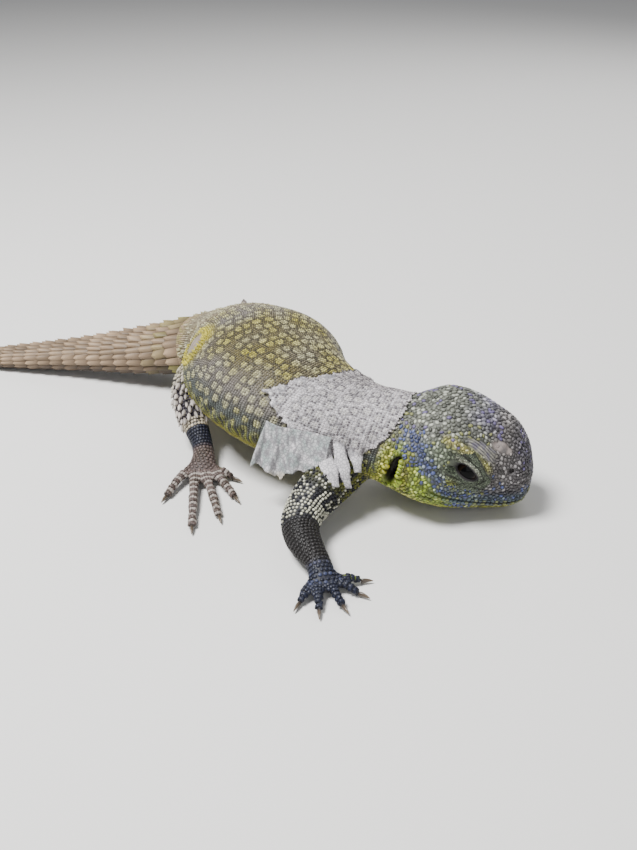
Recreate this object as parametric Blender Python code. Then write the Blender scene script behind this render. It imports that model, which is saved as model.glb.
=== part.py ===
"""A spiny-tailed lizard (uromastyx) at life size, feeding with its head turned to its left.

Metres, +Z up, the head towards +X, the animal's own right side towards -Y. The floor is z = 0.
The body is one long loft along a spine, parted by thin flat cuts into head, jaw, neck, torso and tail.
Sizes below are in millimetres and become metres where a mesh is made. Angles round the body start
at its left side and rise over the back, so 180 degrees is its right side and 270 its belly.
"""

import math

import bmesh
import bpy
import numpy as np

MM = 0.001
GAP = 0.3
FLOOR_SIDE = 600.0
ORIGIN = (8.66, -2.19, 0.0)

SNOUT = (126.0, -4.0)
HEAD_START = 1.8
HEAD_END = 45.0
NECK_END = 58.0
TORSO_END = 148.0

# Stations along the spine, measured back from the tip of the snout.
HEADING_DEG = ((0, 20), (34, 20), (44, 15), (56, 4), (72, -12), (90, -27), (112, -34), (124, -28), (136, -6),
               (148, 14), (162, 22), (190, 23), (225, 26), (258, 34))
SPINE_HEIGHT = ((0, 10.5), (38, 15.2), (48, 17.6), (60, 19.5), (78, 22.0), (100, 23.5), (118, 22.2), (134, 18.5),
                (146, 15.2), (160, 12.2), (175, 9.8), (195, 7.3), (210, 5.6), (225, 4.2), (258, 1.9))
HALF_WIDTH = ((1.8, 6.0), (2.8, 8.2), (4.6, 9.6), (8, 11.0), (14, 12.8), (20, 15.0), (27, 17.8), (32, 18.4),
              (38, 17.0), (45, 15.0), (51, 15.2), (58, 18.0), (68, 22.5), (80, 26.0), (93, 28.0), (104, 27.2),
              (116, 23.0), (127, 18.4), (137, 15.2), (146, 13.6), (160, 12.1), (175, 10.4), (195, 8.0),
              (225, 5.4), (258, 1.6))
TOP_HEIGHT = ((1.8, 5.0), (2.8, 8.0), (5, 12.0), (9, 16.3), (15, 19.0), (21, 20.8), (29, 21.5), (38, 17.8),
              (46, 15.6), (56, 14.2), (68, 15.4), (82, 18.0), (98, 19.2), (114, 17.4), (128, 14.2), (144, 11.2),
              (160, 9.0), (175, 7.6), (195, 5.8), (225, 4.0), (258, 1.2))
BELLY_DEPTH = ((1.8, 5.4), (2.8, 7.0), (6, 9.3), (14, 10.6), (24, 11.0), (33, 10.8), (42, 10.0), (52, 11.0),
               (64, 14.0), (82, 16.5), (100, 17.2), (117, 14.8), (132, 12.0), (144, 10.4), (160, 8.6), (175, 7.4),
               (195, 6.0), (225, 4.2), (258, 1.5))
ROUNDNESS = ((0, 2.5), (8, 2.7), (15, 2.85), (22, 3.0), (30, 2.55), (45, 2.2), (70, 2.05), (100, 1.95),
             (134, 2.05), (155, 2.4), (258, 2.2))
# The left flank is drawn in, as the body bends to that side: by how much, where and over what length.
LEFT_FLANK = (0.20, 75.0, 20.0)

# The line of the mouth, as (station, height from the spine). Its last points run down behind the jaw.
MOUTH = ((-4, -3.8), (0, -3.8), (5, -4.4), (10, -4.9), (15, -4.8), (20, -4.0), (25, -2.6), (29.5, -0.8), (31, -2.0),
         (33.5, -6.6), (36, -14.5))
HEAD_STATIONS = (1.8, 2.3, 3.0, 4.2, 6.0, 8.0, 10.0, 12.0, 14.0, 16.0, 18.0, 20.2, 22.4, 24.6, 27, 29.4, 31.8, 34,
                 35.8, 37.2, 38.6, 40.2, 42, 43.4)

EYE_STATION = 20.5
EYE_OUT = 11.6
EYE_UP = 5.2
EYEBALL = 4.1
SOCKET = EYEBALL + GAP
LID = 5.1
LID_OPENING = (3.5, 1.85)

EAR_STATION = 40.4
EAR_SIZE = (1.7, 3.2, 4.9)
NOSTRIL_STATION = 7.6

WHORLS = 21
WHORL_PITCH = (5.75, 4.65)
SCUTES = 13
TAIL_PARTS = ((0, 5), (5, 10), (10, 15), (15, WHORLS))

# Joints of each limb: root inside the body, elbow or knee, wrist or ankle, roots of the toes.
RIGHT_ARM = ((77.5, -27.0, 14.5), (76.4, -55.5, 7.6), (90.5, -68.3, 4.2), (94.8, -72.2, 1.7))
LEFT_ARM = ((63.0, -6.0, 15.0), (59.0, 14.5, 7.8), (72.5, 25.0, 4.3), (77.5, 29.5, 1.7))
RIGHT_LEG = ((8.0, -3.0, 18.0), (10.8, -23.6, 15.5), (26.9, -37.4, 5.2), (32.0, -45.5, 1.85))
LEFT_LEG = ((14.0, 16.0, 17.0), (3.0, 43.0, 11.5), (-14.0, 47.5, 5.2), (-20.5, 55.0, 1.85))

# Half width and half height of a limb, by joint: 0 root, 1 elbow or knee, 2 wrist or ankle, 3 toe roots.
ARM_WIDTH = ((0, 8.0), (0.6, 6.6), (1, 5.7), (1.35, 5.2), (1.8, 4.0), (2, 3.7), (2.5, 4.4), (3, 4.9))
ARM_HEIGHT = ((0, 8.0), (0.6, 7.0), (1, 5.4), (1.35, 4.8), (1.8, 3.3), (2, 2.9), (2.5, 2.2), (3, 2.0))
LEG_WIDTH = ((0, 9.0), (0.5, 7.2), (1, 5.2), (1.4, 4.7), (1.85, 3.6), (2, 3.5), (2.5, 4.4), (3, 5.2))
LEG_HEIGHT = ((0, 9.0), (0.5, 7.4), (1, 5.2), (1.4, 4.6), (1.85, 3.4), (2, 3.2), (2.5, 2.6), (3, 2.2))

# Each toe, innermost first: its root across the foot, its spread in degrees and its length.
FINGERS = ((-3.4, -80, 5.0), (-2.2, -44, 6.5), (-0.4, -12, 8.0), (1.6, 14, 8.0), (3.2, 42, 5.5))
TOES = ((-4.3, -60, 5.0), (-2.8, -32, 14.5), (-0.6, -16, 23.0), (2.0, -4, 27.5), (4.0, 22, 12.5))
CLAW = (3.0, 0.9)

SPINES_PER_LEG = 34
FLAP_SPAN = (60.0, 80.0)


def through(table, s):
    """A smooth curve with no overshoot through the (position, value) pairs of a table."""
    x, y = (np.array(column, float) for column in zip(*table))
    step, rise = np.diff(x), np.diff(y)
    slope = rise / step
    turn = slope[:-1] * slope[1:] > 0
    inner = np.where(turn, 2 * slope[:-1] * slope[1:] / np.where(turn, slope[:-1] + slope[1:], 1), 0)
    tangent = np.concatenate([[slope[0]], inner, [slope[-1]]])
    s = np.clip(s, x[0], x[-1])
    k = np.clip(np.searchsorted(x, s, side="right") - 1, 0, len(step) - 1)
    t = (s - x[k]) / step[k]
    return (y[k] * (1 + 2 * t) * (1 - t) ** 2 + tangent[k] * step[k] * t * (1 - t) ** 2
            + y[k + 1] * t * t * (3 - 2 * t) + tangent[k + 1] * step[k] * t * t * (t - 1))


def running_sum(s, rate):
    """The path length that a rate adds up to, counted from the snout."""
    total = np.concatenate([[0.0], np.cumsum((rate[1:] + rate[:-1]) / 2 * np.diff(s))])
    return total - np.interp(0.0, s, total)


STEPS = np.arange(-6.0, 275.0, 0.5)
HEADING = np.radians(through(HEADING_DEG, STEPS))
CLIMB = np.gradient(through(SPINE_HEIGHT, STEPS), STEPS)
SPINE_X = SNOUT[0] - running_sum(STEPS, np.cos(HEADING) * np.sqrt(1 - CLIMB ** 2))
SPINE_Y = SNOUT[1] - running_sum(STEPS, np.sin(HEADING) * np.sqrt(1 - CLIMB ** 2))


def spine(s):
    """The point of the spine at a station, with the directions forward, left and up there."""
    s = np.asarray(s, float)
    point = np.stack([np.interp(s, STEPS, SPINE_X), np.interp(s, STEPS, SPINE_Y), through(SPINE_HEIGHT, s)], -1)
    heading, climb = np.interp(s, STEPS, HEADING), np.interp(s, STEPS, CLIMB)
    level = np.sqrt(1 - climb ** 2)
    forward = np.stack([np.cos(heading) * level, np.sin(heading) * level, -climb], -1)
    left = np.stack([-np.sin(heading), np.cos(heading), 0 * heading], -1)
    return point, forward, left, np.cross(forward, left)


def bump(x, centre, width):
    """A smooth hill of height 1."""
    return np.exp(-((x - centre) / width) ** 2)


def side_angle(angle):
    """The angle above the belly-to-flank level, the same on both sides: -90 belly, 0 flank, 90 back."""
    return np.degrees(np.arcsin(np.clip(np.sin(angle), -1, 1)))


def relief(s, angle):
    """Height of the folds and ridges over the plain form."""
    a = side_angle(angle)
    brow = 1.5 * bump(a, 50, 9) * bump(s, 18.0, 5.5)
    hollow = -0.9 * bump(a, 24, 16) * bump(s, 11.0, 3.2)
    muzzle = 0.5 * bump(a, 30, 20) * bump(s, 5.0, 2.5)
    cheek = 0.8 * bump(a, -12, 16) * bump(s, 30.5, 4.0)
    ear_rim = 1.0 * bump(a, 10, 30) * (bump(s, 37.4, 1.3) + 0.6 * bump(s, 43.2, 1.2))
    folds = 0.8 * bump(a, -10, 38) * np.sin((s - 44) * 1.35) * bump(s, 50.5, 5.0)
    return brow + hollow + muzzle + cheek + ear_rim + folds


def body_point(s, angle, swell=0.0, lips=0.0):
    """The skin of head, trunk or tail at a station and an angle round it."""
    point, forward, left, up = spine(s)
    roundness = through(ROUNDNESS, s)
    cosine, sine = np.cos(angle), np.sin(angle)
    depth = np.where(sine > 0, through(TOP_HEIGHT, s), through(BELLY_DEPTH, s))
    drawn_in = 1 - LEFT_FLANK[0] * (cosine > 0) * bump(s, LEFT_FLANK[1], LEFT_FLANK[2])
    across = through(HALF_WIDTH, s) * drawn_in * np.sign(cosine) * np.abs(cosine) ** (2 / roundness)
    above = depth * np.sign(sine) * np.abs(sine) ** (2 / roundness)
    away = np.stack([cosine * depth, sine * through(HALF_WIDTH, s)], -1)
    away = away / np.linalg.norm(away, axis=-1, keepdims=True)
    out = relief(s, angle) + swell + lips
    return (point + left * (across + away[..., 0] * out)[..., None]
            + up * (above + away[..., 1] * out)[..., None])


def mouth_angle(s):
    """The angle below the flank at which the line of the mouth lies."""
    depth = -through(MOUTH[:8], np.clip(s, 0, 29.5)) / through(BELLY_DEPTH, s)
    return -np.arcsin(np.clip(depth, -0.02, 0.9) ** (through(ROUNDNESS, s) / 2) if np.ndim(s)
                      else max(depth, 0.0) ** (through(ROUNDNESS, s) / 2))


def head_ring(s):
    """One ring of the head, with columns that follow the lips."""
    mouth = float(mouth_angle(float(s)))
    lip = 1.1 / float(through(BELLY_DEPTH, s))
    low = [mouth + lip * -1.0 + (-math.pi / 2 - mouth + lip) * t for t in (0.25, 0.55, 0.8)]
    high = [mouth + lip + (math.pi / 2 - mouth - lip) * t for t in (0.14, 0.28, 0.4, 0.51, 0.61, 0.71, 0.81, 0.91)]
    half = sorted(low + [mouth - lip, mouth, mouth + lip] + high)
    swell = [0.45 * (abs(abs(a - mouth) - lip) < 1e-6) - 0.25 * (a == mouth) for a in half]
    fade = float(bump(s, 12, 15)) * (s < 33)
    angles = half + [math.pi / 2] + [math.pi - a for a in reversed(half)] + [1.5 * math.pi]
    lips = np.array(swell + [0.0] + swell[::-1] + [0.0]) * fade
    return body_point(np.full(len(angles), float(s)), np.array(angles), lips=lips)


def body_ring(s, around=32, swell=0.0):
    """One plain ring of the body."""
    angles = np.arange(around) * 2 * math.pi / around
    return body_point(np.full(around, float(s)), angles, swell)


def tube(rings):
    """Points and faces of a closed form through rings of equal size, with a fan over each end."""
    rings = np.asarray(rings, float)
    count, around = rings.shape[:2]
    points = list(rings.reshape(-1, 3)) + [rings[0].mean(0), rings[-1].mean(0)]
    faces = []
    for j in range(around):
        k = (j + 1) % around
        faces.append((count * around, k, j))
        faces.append((count * around + 1, (count - 1) * around + j, (count - 1) * around + k))
        for i in range(count - 1):
            faces.append((i * around + j, i * around + k, (i + 1) * around + k, (i + 1) * around + j))
    return points, faces


def solid(name, points, faces):
    """A closed mesh, facing out, from points in millimetres."""
    bm = bmesh.new()
    verts = [bm.verts.new(point) for point in (np.asarray(points, float) - ORIGIN) * MM]
    for face in faces:
        bm.faces.new([verts[i] for i in face])
    bmesh.ops.recalc_face_normals(bm, faces=bm.faces)
    if bm.calc_volume(signed=True) < 0:
        bmesh.ops.reverse_faces(bm, faces=bm.faces)
    mesh = bpy.data.meshes.new(name)
    bm.to_mesh(mesh)
    bm.free()
    obj = bpy.data.objects.new(name, mesh)
    bpy.data.collections["cutters"].objects.link(obj)
    return obj


def ball(centre, axes, radii, segments=16, rings=10):
    """An ellipsoid, as a closed form to join or to cut with."""
    axes = np.asarray(axes, float)
    turn = np.arange(segments) * 2 * math.pi / segments
    rows = []
    for lift in np.linspace(-math.pi / 2, math.pi / 2, rings + 1)[1:-1]:
        flat = np.stack([np.cos(turn) * math.cos(lift), np.sin(turn) * math.cos(lift),
                         np.full(segments, math.sin(lift))], -1)
        rows.append(np.asarray(centre) + (flat * radii) @ axes)
    points, faces = tube(rows)
    points[-2] = np.asarray(centre) - axes[2] * radii[2]
    points[-1] = np.asarray(centre) + axes[2] * radii[2]
    return solid("piece", points, faces)


def combine(obj, pieces, operation):
    """Joins closed meshes to obj, or takes them from it, and removes them."""
    group = bpy.data.collections.new("pieces")
    bpy.context.scene.collection.children.link(group)
    for piece in pieces:
        bpy.data.collections["cutters"].objects.unlink(piece)
        group.objects.link(piece)
    modifier = obj.modifiers.new("Boolean", "BOOLEAN")
    modifier.operation = operation
    modifier.solver = "EXACT"
    if len(pieces) == 1:
        modifier.object = pieces[0]
    else:
        modifier.operand_type = "COLLECTION"
        modifier.collection = group
    graph = bpy.context.evaluated_depsgraph_get()
    mesh = bpy.data.meshes.new_from_object(obj.evaluated_get(graph))
    obj.modifiers.clear()
    obj.data = mesh
    for piece in pieces:
        bpy.data.objects.remove(piece)
    bpy.data.collections.remove(group)
    keep_largest(obj)


def keep_largest(obj):
    """Keeps the largest closed surface of a mesh."""
    bm = bmesh.new()
    bm.from_mesh(obj.data)
    bmesh.ops.remove_doubles(bm, verts=bm.verts, dist=2e-6)
    bmesh.ops.dissolve_degenerate(bm, edges=bm.edges, dist=2e-6)
    bmesh.ops.triangulate(bm, faces=bm.faces)
    left = set(bm.faces)
    parts = []
    while left:
        found = [left.pop()]
        for face in found:
            near = {other for edge in face.edges for other in edge.link_faces} & left
            found.extend(near)
            left -= near
        parts.append(found)
    size = [sum(face.verts[0].co.cross(face.verts[1].co).dot(face.verts[2].co) for face in part) for part in parts]
    largest = parts[size.index(max(size))]
    drop = [face for part in parts if part is not largest for face in part]
    bmesh.ops.delete(bm, geom=drop, context="FACES")
    bmesh.ops.delete(bm, geom=[edge for edge in bm.edges if not edge.link_faces], context="EDGES")
    bmesh.ops.delete(bm, geom=[vert for vert in bm.verts if not vert.link_faces], context="VERTS")
    bm.to_mesh(obj.data)
    bm.free()


def material(name, colour, roughness):
    """A plain painted finish for one node."""
    finish = bpy.data.materials.new(name)
    finish.use_nodes = True
    shader = finish.node_tree.nodes["Principled BSDF"]
    shader.inputs["Base Color"].default_value = (*colour, 1.0)
    shader.inputs["Roughness"].default_value = roughness
    shader.inputs["Metallic"].default_value = 0.0
    finish.diffuse_color = (*colour, 1.0)
    return finish


def node(obj, name, colour, roughness=0.6):
    """Makes a mesh one named part of the animal, with its own material."""
    obj.name = name
    obj.data.name = name
    obj.data.materials.clear()
    obj.data.materials.append(material(name, colour, roughness))
    bpy.data.collections["cutters"].objects.unlink(obj)
    bpy.data.collections["uromastyx"].objects.link(obj)
    return obj


def floor_block():
    """Everything below the floor."""
    half = FLOOR_SIDE / 2
    corners = [(x, y, z) for z in (-60.0, 0.0) for x, y in ((-half, -half), (half, -half), (half, half), (-half, half))]
    points, faces = tube([corners[:4], corners[4:]])
    return solid("piece", points, faces)


def mouth_block(shift):
    """Everything below the line of the mouth and ahead of the jaw's hinge, moved down by shift."""
    line = np.array(MOUTH, float)
    run = np.gradient(line, axis=0)
    normal = np.stack([run[:, 1], -run[:, 0]], -1)
    normal /= np.linalg.norm(normal, axis=1, keepdims=True)
    line = line + normal * shift
    rings = []
    for s, height in line:
        point, forward, left, up = spine(s)
        rings.append([point + left * 32 + up * height, point - left * 32 + up * height,
                      point - left * 32 - up * 24, point + left * 32 - up * 24])
    points, faces = tube(rings)
    return solid("piece", points, faces)


def eye_frame(side):
    """Centre of an eye and the directions along the lids, up and out of it. The side is 1 left, -1 right."""
    point, forward, left, up = spine(EYE_STATION)
    centre = point + left * side * EYE_OUT + up * EYE_UP
    out = left * side + forward * 0.16 + up * 0.14
    out /= np.linalg.norm(out)
    along = forward - up * 0.30
    along -= out * (along @ out)
    along /= np.linalg.norm(along)
    return centre, along, np.cross(out, along) * side, out


def eye_axes(side):
    """The eye's own directions as rows, for a ball."""
    centre, along, upward, out = eye_frame(side)
    return np.stack([along, upward, out])


def lid_cutter(side):
    """The almond opening between the lids, growing outwards."""
    centre, along, upward, out = eye_frame(side)
    turn = np.arange(14) * 2 * math.pi / 14
    rings = []
    for reach, scale in ((1.0, 0.72), (LID, 1.0), (LID + 3, 1.5)):
        across = LID_OPENING[0] * scale * np.cos(turn)
        tall = LID_OPENING[1] * scale * np.sin(turn) * (0.55 + 0.45 * np.abs(np.sin(turn)))
        rings.append(centre + out * reach + across[:, None] * along + tall[:, None] * upward)
    points, faces = tube(rings)
    return solid("piece", points, faces)


def head_form():
    """Head and jaw together, as one loft with a blunt snout."""
    point, forward, left, up = spine(HEAD_START)
    first = head_ring(HEAD_START)
    rings = [first.mean(0) + (first - first.mean(0)) * 0.62 + forward * 0.75]
    rings += [head_ring(s) for s in HEAD_STATIONS]
    rings.append(head_ring(HEAD_END - GAP / 2))
    points, faces = tube(rings)
    points[-2] = points[-2] + forward * 0.35
    return solid("head", points, faces)


def build_head():
    """The head with lids, sockets, ear cups and nostrils, and the lower jaw."""
    head = head_form()
    jaw = head_form()
    combine(jaw, [mouth_block(GAP / 2)], "INTERSECT")
    combine(head, [mouth_block(-GAP / 2)], "DIFFERENCE")
    combine(head, [ball(eye_frame(side)[0], eye_axes(side), (LID * 1.08, LID, LID)) for side in (1, -1)], "UNION")
    cutters = []
    for side in (1, -1):
        cutters.append(lid_cutter(side))
        cutters.append(ball(eye_frame(side)[0], eye_axes(side), (SOCKET,) * 3))
        point, forward, left, up = spine(EAR_STATION)
        slant = forward + up * 0.12
        slant /= np.linalg.norm(slant)
        axes = np.stack([slant, left * side, np.cross(slant, left * side)])
        cutters.append(ball(point + left * side * 17.0 + up * 1.6, axes, EAR_SIZE, 12, 8))
        nostril = body_point(NOSTRIL_STATION, math.pi / 2 - side * math.radians(72))
        cutters.append(ball(nostril, np.eye(3), (0.95, 0.95, 0.95), 8, 6))
    for cutter in cutters:
        combine(head, [cutter], "DIFFERENCE")
    node(head, "head", (0.150, 0.160, 0.115), 0.55)
    node(jaw, "jaw", (0.210, 0.230, 0.120), 0.55)
    for side, name in ((1, "eye_left"), (-1, "eye_right")):
        eye = ball(eye_frame(side)[0], eye_axes(side), (EYEBALL,) * 3, 14, 8)
        node(eye, name, (0.016, 0.012, 0.010), 0.12)


NECK_STATIONS = np.linspace(HEAD_END + GAP / 2, NECK_END - GAP / 2, 9)
TORSO_STATIONS = np.linspace(NECK_END + GAP / 2, TORSO_END - GAP / 2, 29)


def trunk_form(stations, swell=0.0):
    """The plain body through these stations."""
    return solid("trunk", *tube([body_ring(s, 32, swell) for s in stations]))


def trunk_cutter():
    """Neck and torso with the gap that limbs keep from them."""
    return trunk_form(np.concatenate([[40.0, 43.0], NECK_STATIONS, TORSO_STATIONS, [152.0, 157.0]]), GAP)


def build_trunk():
    """Neck and torso."""
    node(trunk_form(NECK_STATIONS), "neck", (0.210, 0.210, 0.160), 0.6)
    node(trunk_form(TORSO_STATIONS), "torso", (0.190, 0.185, 0.125), 0.6)


def whorl_starts():
    """The stations at which the tail's whorls start, closer together towards its tip."""
    pitch = np.linspace(*WHORL_PITCH, WHORLS)
    return TORSO_END + np.concatenate([[0.0], np.cumsum(pitch)])


def whorl_rings(start, end, closes):
    """Three rings of one whorl of keeled scutes. Their tips point back over the next whorl unless it closes a part."""
    turn = np.arange(2 * SCUTES) * math.pi / SCUTES
    keel = (np.arange(2 * SCUTES) % 2 == 0).astype(float)
    above = 0.62 + 0.38 * np.sin(turn)
    pitch = end - start
    size = float(through(HALF_WIDTH, start)) / 13.0
    tall = 1.5 * max(size, 0.35) * above
    rings = []
    for along, valley, crest, reach in ((0.08, -0.10, -0.02, 0.0), (0.55, -0.04, 0.30, 0.0), (0.90, 0.0, 1.0, 0.16)):
        back = (0.0 if closes else reach) * keel * above
        s = start + (along + back) * pitch
        width = through(HALF_WIDTH, s)
        out = np.where(keel > 0, crest * tall, 0.0) + valley * width
        rings.append(body_point(s, turn, out))
    return rings


def build_tail():
    """The tail in four parts, each cut between two whorls."""
    starts = whorl_starts()
    for number, (first, last) in enumerate(TAIL_PARTS, 1):
        rings = [body_ring(starts[first] + GAP / 2, 2 * SCUTES, -0.08 * float(through(HALF_WIDTH, starts[first])))]
        for k in range(first, last):
            rings += whorl_rings(starts[k], starts[k + 1], k == last - 1)
        end = starts[last] - GAP / 2
        rings.append(body_ring(end, 2 * SCUTES, -0.10 * float(through(HALF_WIDTH, end))))
        part = solid("tail", *tube(rings))
        combine(part, [floor_block()], "DIFFERENCE")
        node(part, f"tail_{number}", (0.250, 0.200, 0.135), 0.65)


def limb_path(joints, t):
    """Points of a smooth path through the joints, by joint number."""
    at = np.array(joints, float)
    slope = np.gradient(at, axis=0)
    k = int(min(max(math.floor(t), 0), len(at) - 2))
    t = t - k
    return (at[k] * (1 + 2 * t) * (1 - t) ** 2 + slope[k] * t * (1 - t) ** 2
            + at[k + 1] * t * t * (3 - 2 * t) + slope[k + 1] * t * t * (t - 1))


def limb_ring(joints, widths, heights, t, around=12, swell=0.0):
    """One ring of a limb, level across."""
    point, ahead, behind = limb_path(joints, t), limb_path(joints, t + 0.02), limb_path(joints, t - 0.02)
    run = ahead - behind
    run /= np.linalg.norm(run)
    side = np.cross(run, (0, 0, 1.0))
    side /= np.linalg.norm(side)
    turn = np.arange(around) * 2 * math.pi / around
    return (point + np.outer(np.cos(turn), side) * (through(widths, t) + swell)
            + np.outer(np.sin(turn), np.cross(side, run)) * (through(heights, t) + swell))


def limb_part(joints, widths, heights, first, last, around=12, spacing=3.4):
    """A closed part of a limb between two positions, set back by half a gap at each end."""
    length = np.linalg.norm(np.array(joints[int(last - 0.01)]) - np.array(joints[int(last - 0.01) + 1]))
    trim = GAP / 2 / length
    count = max(3, round((last - first) * length / spacing) + 1)
    stations = np.linspace(first + trim * (first > 0), last - trim, count)
    return solid("limb", *tube([limb_ring(joints, widths, heights, t, around) for t in stations]))


def toe_path(joints, side, toe, thickness):
    """The centre line of one toe, arched from its root in the foot to its tip near the floor."""
    across, spread, length = toe
    end, run = np.array(joints[3], float), np.array(joints[3]) - np.array(joints[2])
    run[2] = 0.0
    run /= np.linalg.norm(run)
    inner = np.array([-run[1], run[0], 0.0]) * -side
    angle = math.radians(spread)
    heading = run * math.cos(angle) + inner * -math.sin(angle)
    start = end + inner * -across - run * 2.0
    first = start + heading * (length * 0.35)
    lift = ((0.0, 2.0), (0.4, 2.6), (0.75, 1.9), (1.0, thickness * 0.80))
    points = []
    for t in np.linspace(0, 1, 7):
        place = start + heading * (length + 2.0) * t
        place[2] = through(lift, t)
        points.append(place)
    return np.array(points), heading


def toe_rings(points, radii, around=8):
    """Rings round a toe's centre line."""
    runs = np.gradient(points, axis=0)
    turn = (np.arange(around) + 0.5) * 2 * math.pi / around
    rings = []
    for point, run, radius in zip(points, runs, radii):
        run = run / np.linalg.norm(run)
        side = np.cross(run, (0, 0, 1.0))
        side /= np.linalg.norm(side)
        rings.append(point + radius * (np.outer(np.cos(turn), side) + np.outer(np.sin(turn), np.cross(side, run))))
    return rings


def build_foot(name, joints, widths, heights, side, toes, thickness, colour):
    """A hand or a foot: palm and five toes in one body, flat below, with a separate claw on each toe."""
    foot = limb_foot(joints, widths, heights)
    pieces = []
    for number, toe in enumerate(toes, 1):
        points, heading = toe_path(joints, side, toe, thickness)
        radii = thickness * (1.0 + 0.30 * (1 - np.linspace(0, 1, 7)))
        pieces.append(solid("piece", *tube(toe_rings(points, radii))))
        build_claw(f"claw_{name}_{number}", points[-1], heading, thickness)
    combine(foot, pieces, "UNION")
    combine(foot, [floor_block()], "DIFFERENCE")
    node(foot, name, colour, 0.55)


def limb_foot(joints, widths, heights):
    """The palm or sole, rounded off ahead of the roots of the toes."""
    length = np.linalg.norm(np.array(joints[2]) - np.array(joints[3]))
    rings = [limb_ring(joints, widths, heights, t) for t in np.linspace(2 + GAP / 2 / length, 3, 4)]
    run = np.array(joints[3]) - np.array(joints[2])
    run[2] = 0.0
    run /= np.linalg.norm(run)
    last = rings[-1]
    rings.append(last.mean(0) + (last - last.mean(0)) * 0.72 + run * 1.3)
    points, faces = tube(rings)
    points[-1] = points[-1] + run * 0.5
    return solid("foot", points, faces)


def build_claw(name, tip, heading, thickness):
    """A curved claw that starts one gap beyond its toe and ends just above the floor."""
    length, radius = CLAW
    rings = []
    for t, size in ((0.0, 0.85), (0.35, 0.80), (0.7, 0.5), (1.0, 0.16)):
        centre = tip + heading * (GAP + length * t)
        centre[2] = tip[2] + 0.25 * math.sin(t * 2.4) - 0.28 * t
        turn = np.arange(6) * math.pi / 3
        side = np.cross(heading, (0, 0, 1.0))
        ring = centre + radius * size * (np.outer(np.cos(turn) * 0.8, side) + np.outer(np.sin(turn), (0, 0, 1.0)))
        ring[:, 2] = np.maximum(ring[:, 2], 0.05)
        rings.append(ring)
    node(solid("claw", *tube(rings)), name, (0.070, 0.055, 0.040), 0.35)


def leg_spines(joints, side, first, last, count):
    """Short thorn-like scales on the outer and rear faces of a hind leg, their roots sunk in it."""
    pieces = []
    for k in range(count):
        row = k % 4
        t = first + (last - first) * (k + 0.5) / count
        ring = limb_ring(joints, LEG_WIDTH, LEG_HEIGHT, t, 24)
        centre = ring.mean(0)
        start = ring[(2 + 3 * row) % 24] if side < 0 else ring[(10 - 3 * row) % 24]
        out = (start - centre) / np.linalg.norm(start - centre)
        run = limb_path(joints, min(t + 0.05, 3)) - limb_path(joints, t - 0.05)
        run /= np.linalg.norm(run)
        lean = out + run * 0.55
        lean /= np.linalg.norm(lean)
        across = np.cross(out, run)
        turn = np.arange(5) * 2 * math.pi / 5
        base = start - out * 0.7
        ring = base + 1.05 * (np.outer(np.cos(turn), run) + np.outer(np.sin(turn), across))
        points = list(ring) + [base - out * 0.2, base + lean * 2.7]
        faces = [(5, (j + 1) % 5, j) for j in range(5)] + [(6, j, (j + 1) % 5) for j in range(5)]
        pieces.append(solid("piece", points, faces))
    return pieces


def build_arm(side, joints):
    """A foreleg: upper arm, forearm and hand."""
    name = "left" if side > 0 else "right"
    upper = limb_part(joints, ARM_WIDTH, ARM_HEIGHT, 0, 1)
    combine(upper, [trunk_cutter()], "DIFFERENCE")
    node(upper, f"upper_arm_{name}", (0.090, 0.095, 0.060), 0.55)
    forearm = limb_part(joints, ARM_WIDTH, ARM_HEIGHT, 1, 2)
    node(forearm, f"forearm_{name}", (0.045, 0.040, 0.032), 0.55)
    build_foot(f"hand_{name}", joints, ARM_WIDTH, ARM_HEIGHT, side, FINGERS, 1.25, (0.055, 0.060, 0.070))


def build_leg(side, joints):
    """A hind leg: thigh, shank and foot. The thorns are joined to thigh and shank."""
    name = "left" if side > 0 else "right"
    thigh = limb_part(joints, LEG_WIDTH, LEG_HEIGHT, 0, 1)
    combine(thigh, leg_spines(joints, side, 0.66, 0.93, SPINES_PER_LEG // 3), "UNION")
    combine(thigh, [trunk_cutter()], "DIFFERENCE")
    node(thigh, f"thigh_{name}", (0.120, 0.115, 0.080), 0.6)
    shank = limb_part(joints, LEG_WIDTH, LEG_HEIGHT, 1, 2)
    combine(shank, leg_spines(joints, side, 1.07, 1.88, SPINES_PER_LEG - SPINES_PER_LEG // 3), "UNION")
    combine(shank, [trunk_cutter()], "DIFFERENCE")
    node(shank, f"shank_{name}", (0.100, 0.090, 0.065), 0.6)
    build_foot(f"foot_{name}", joints, LEG_WIDTH, LEG_HEIGHT, side, TOES, 1.3, (0.180, 0.150, 0.125))


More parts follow.
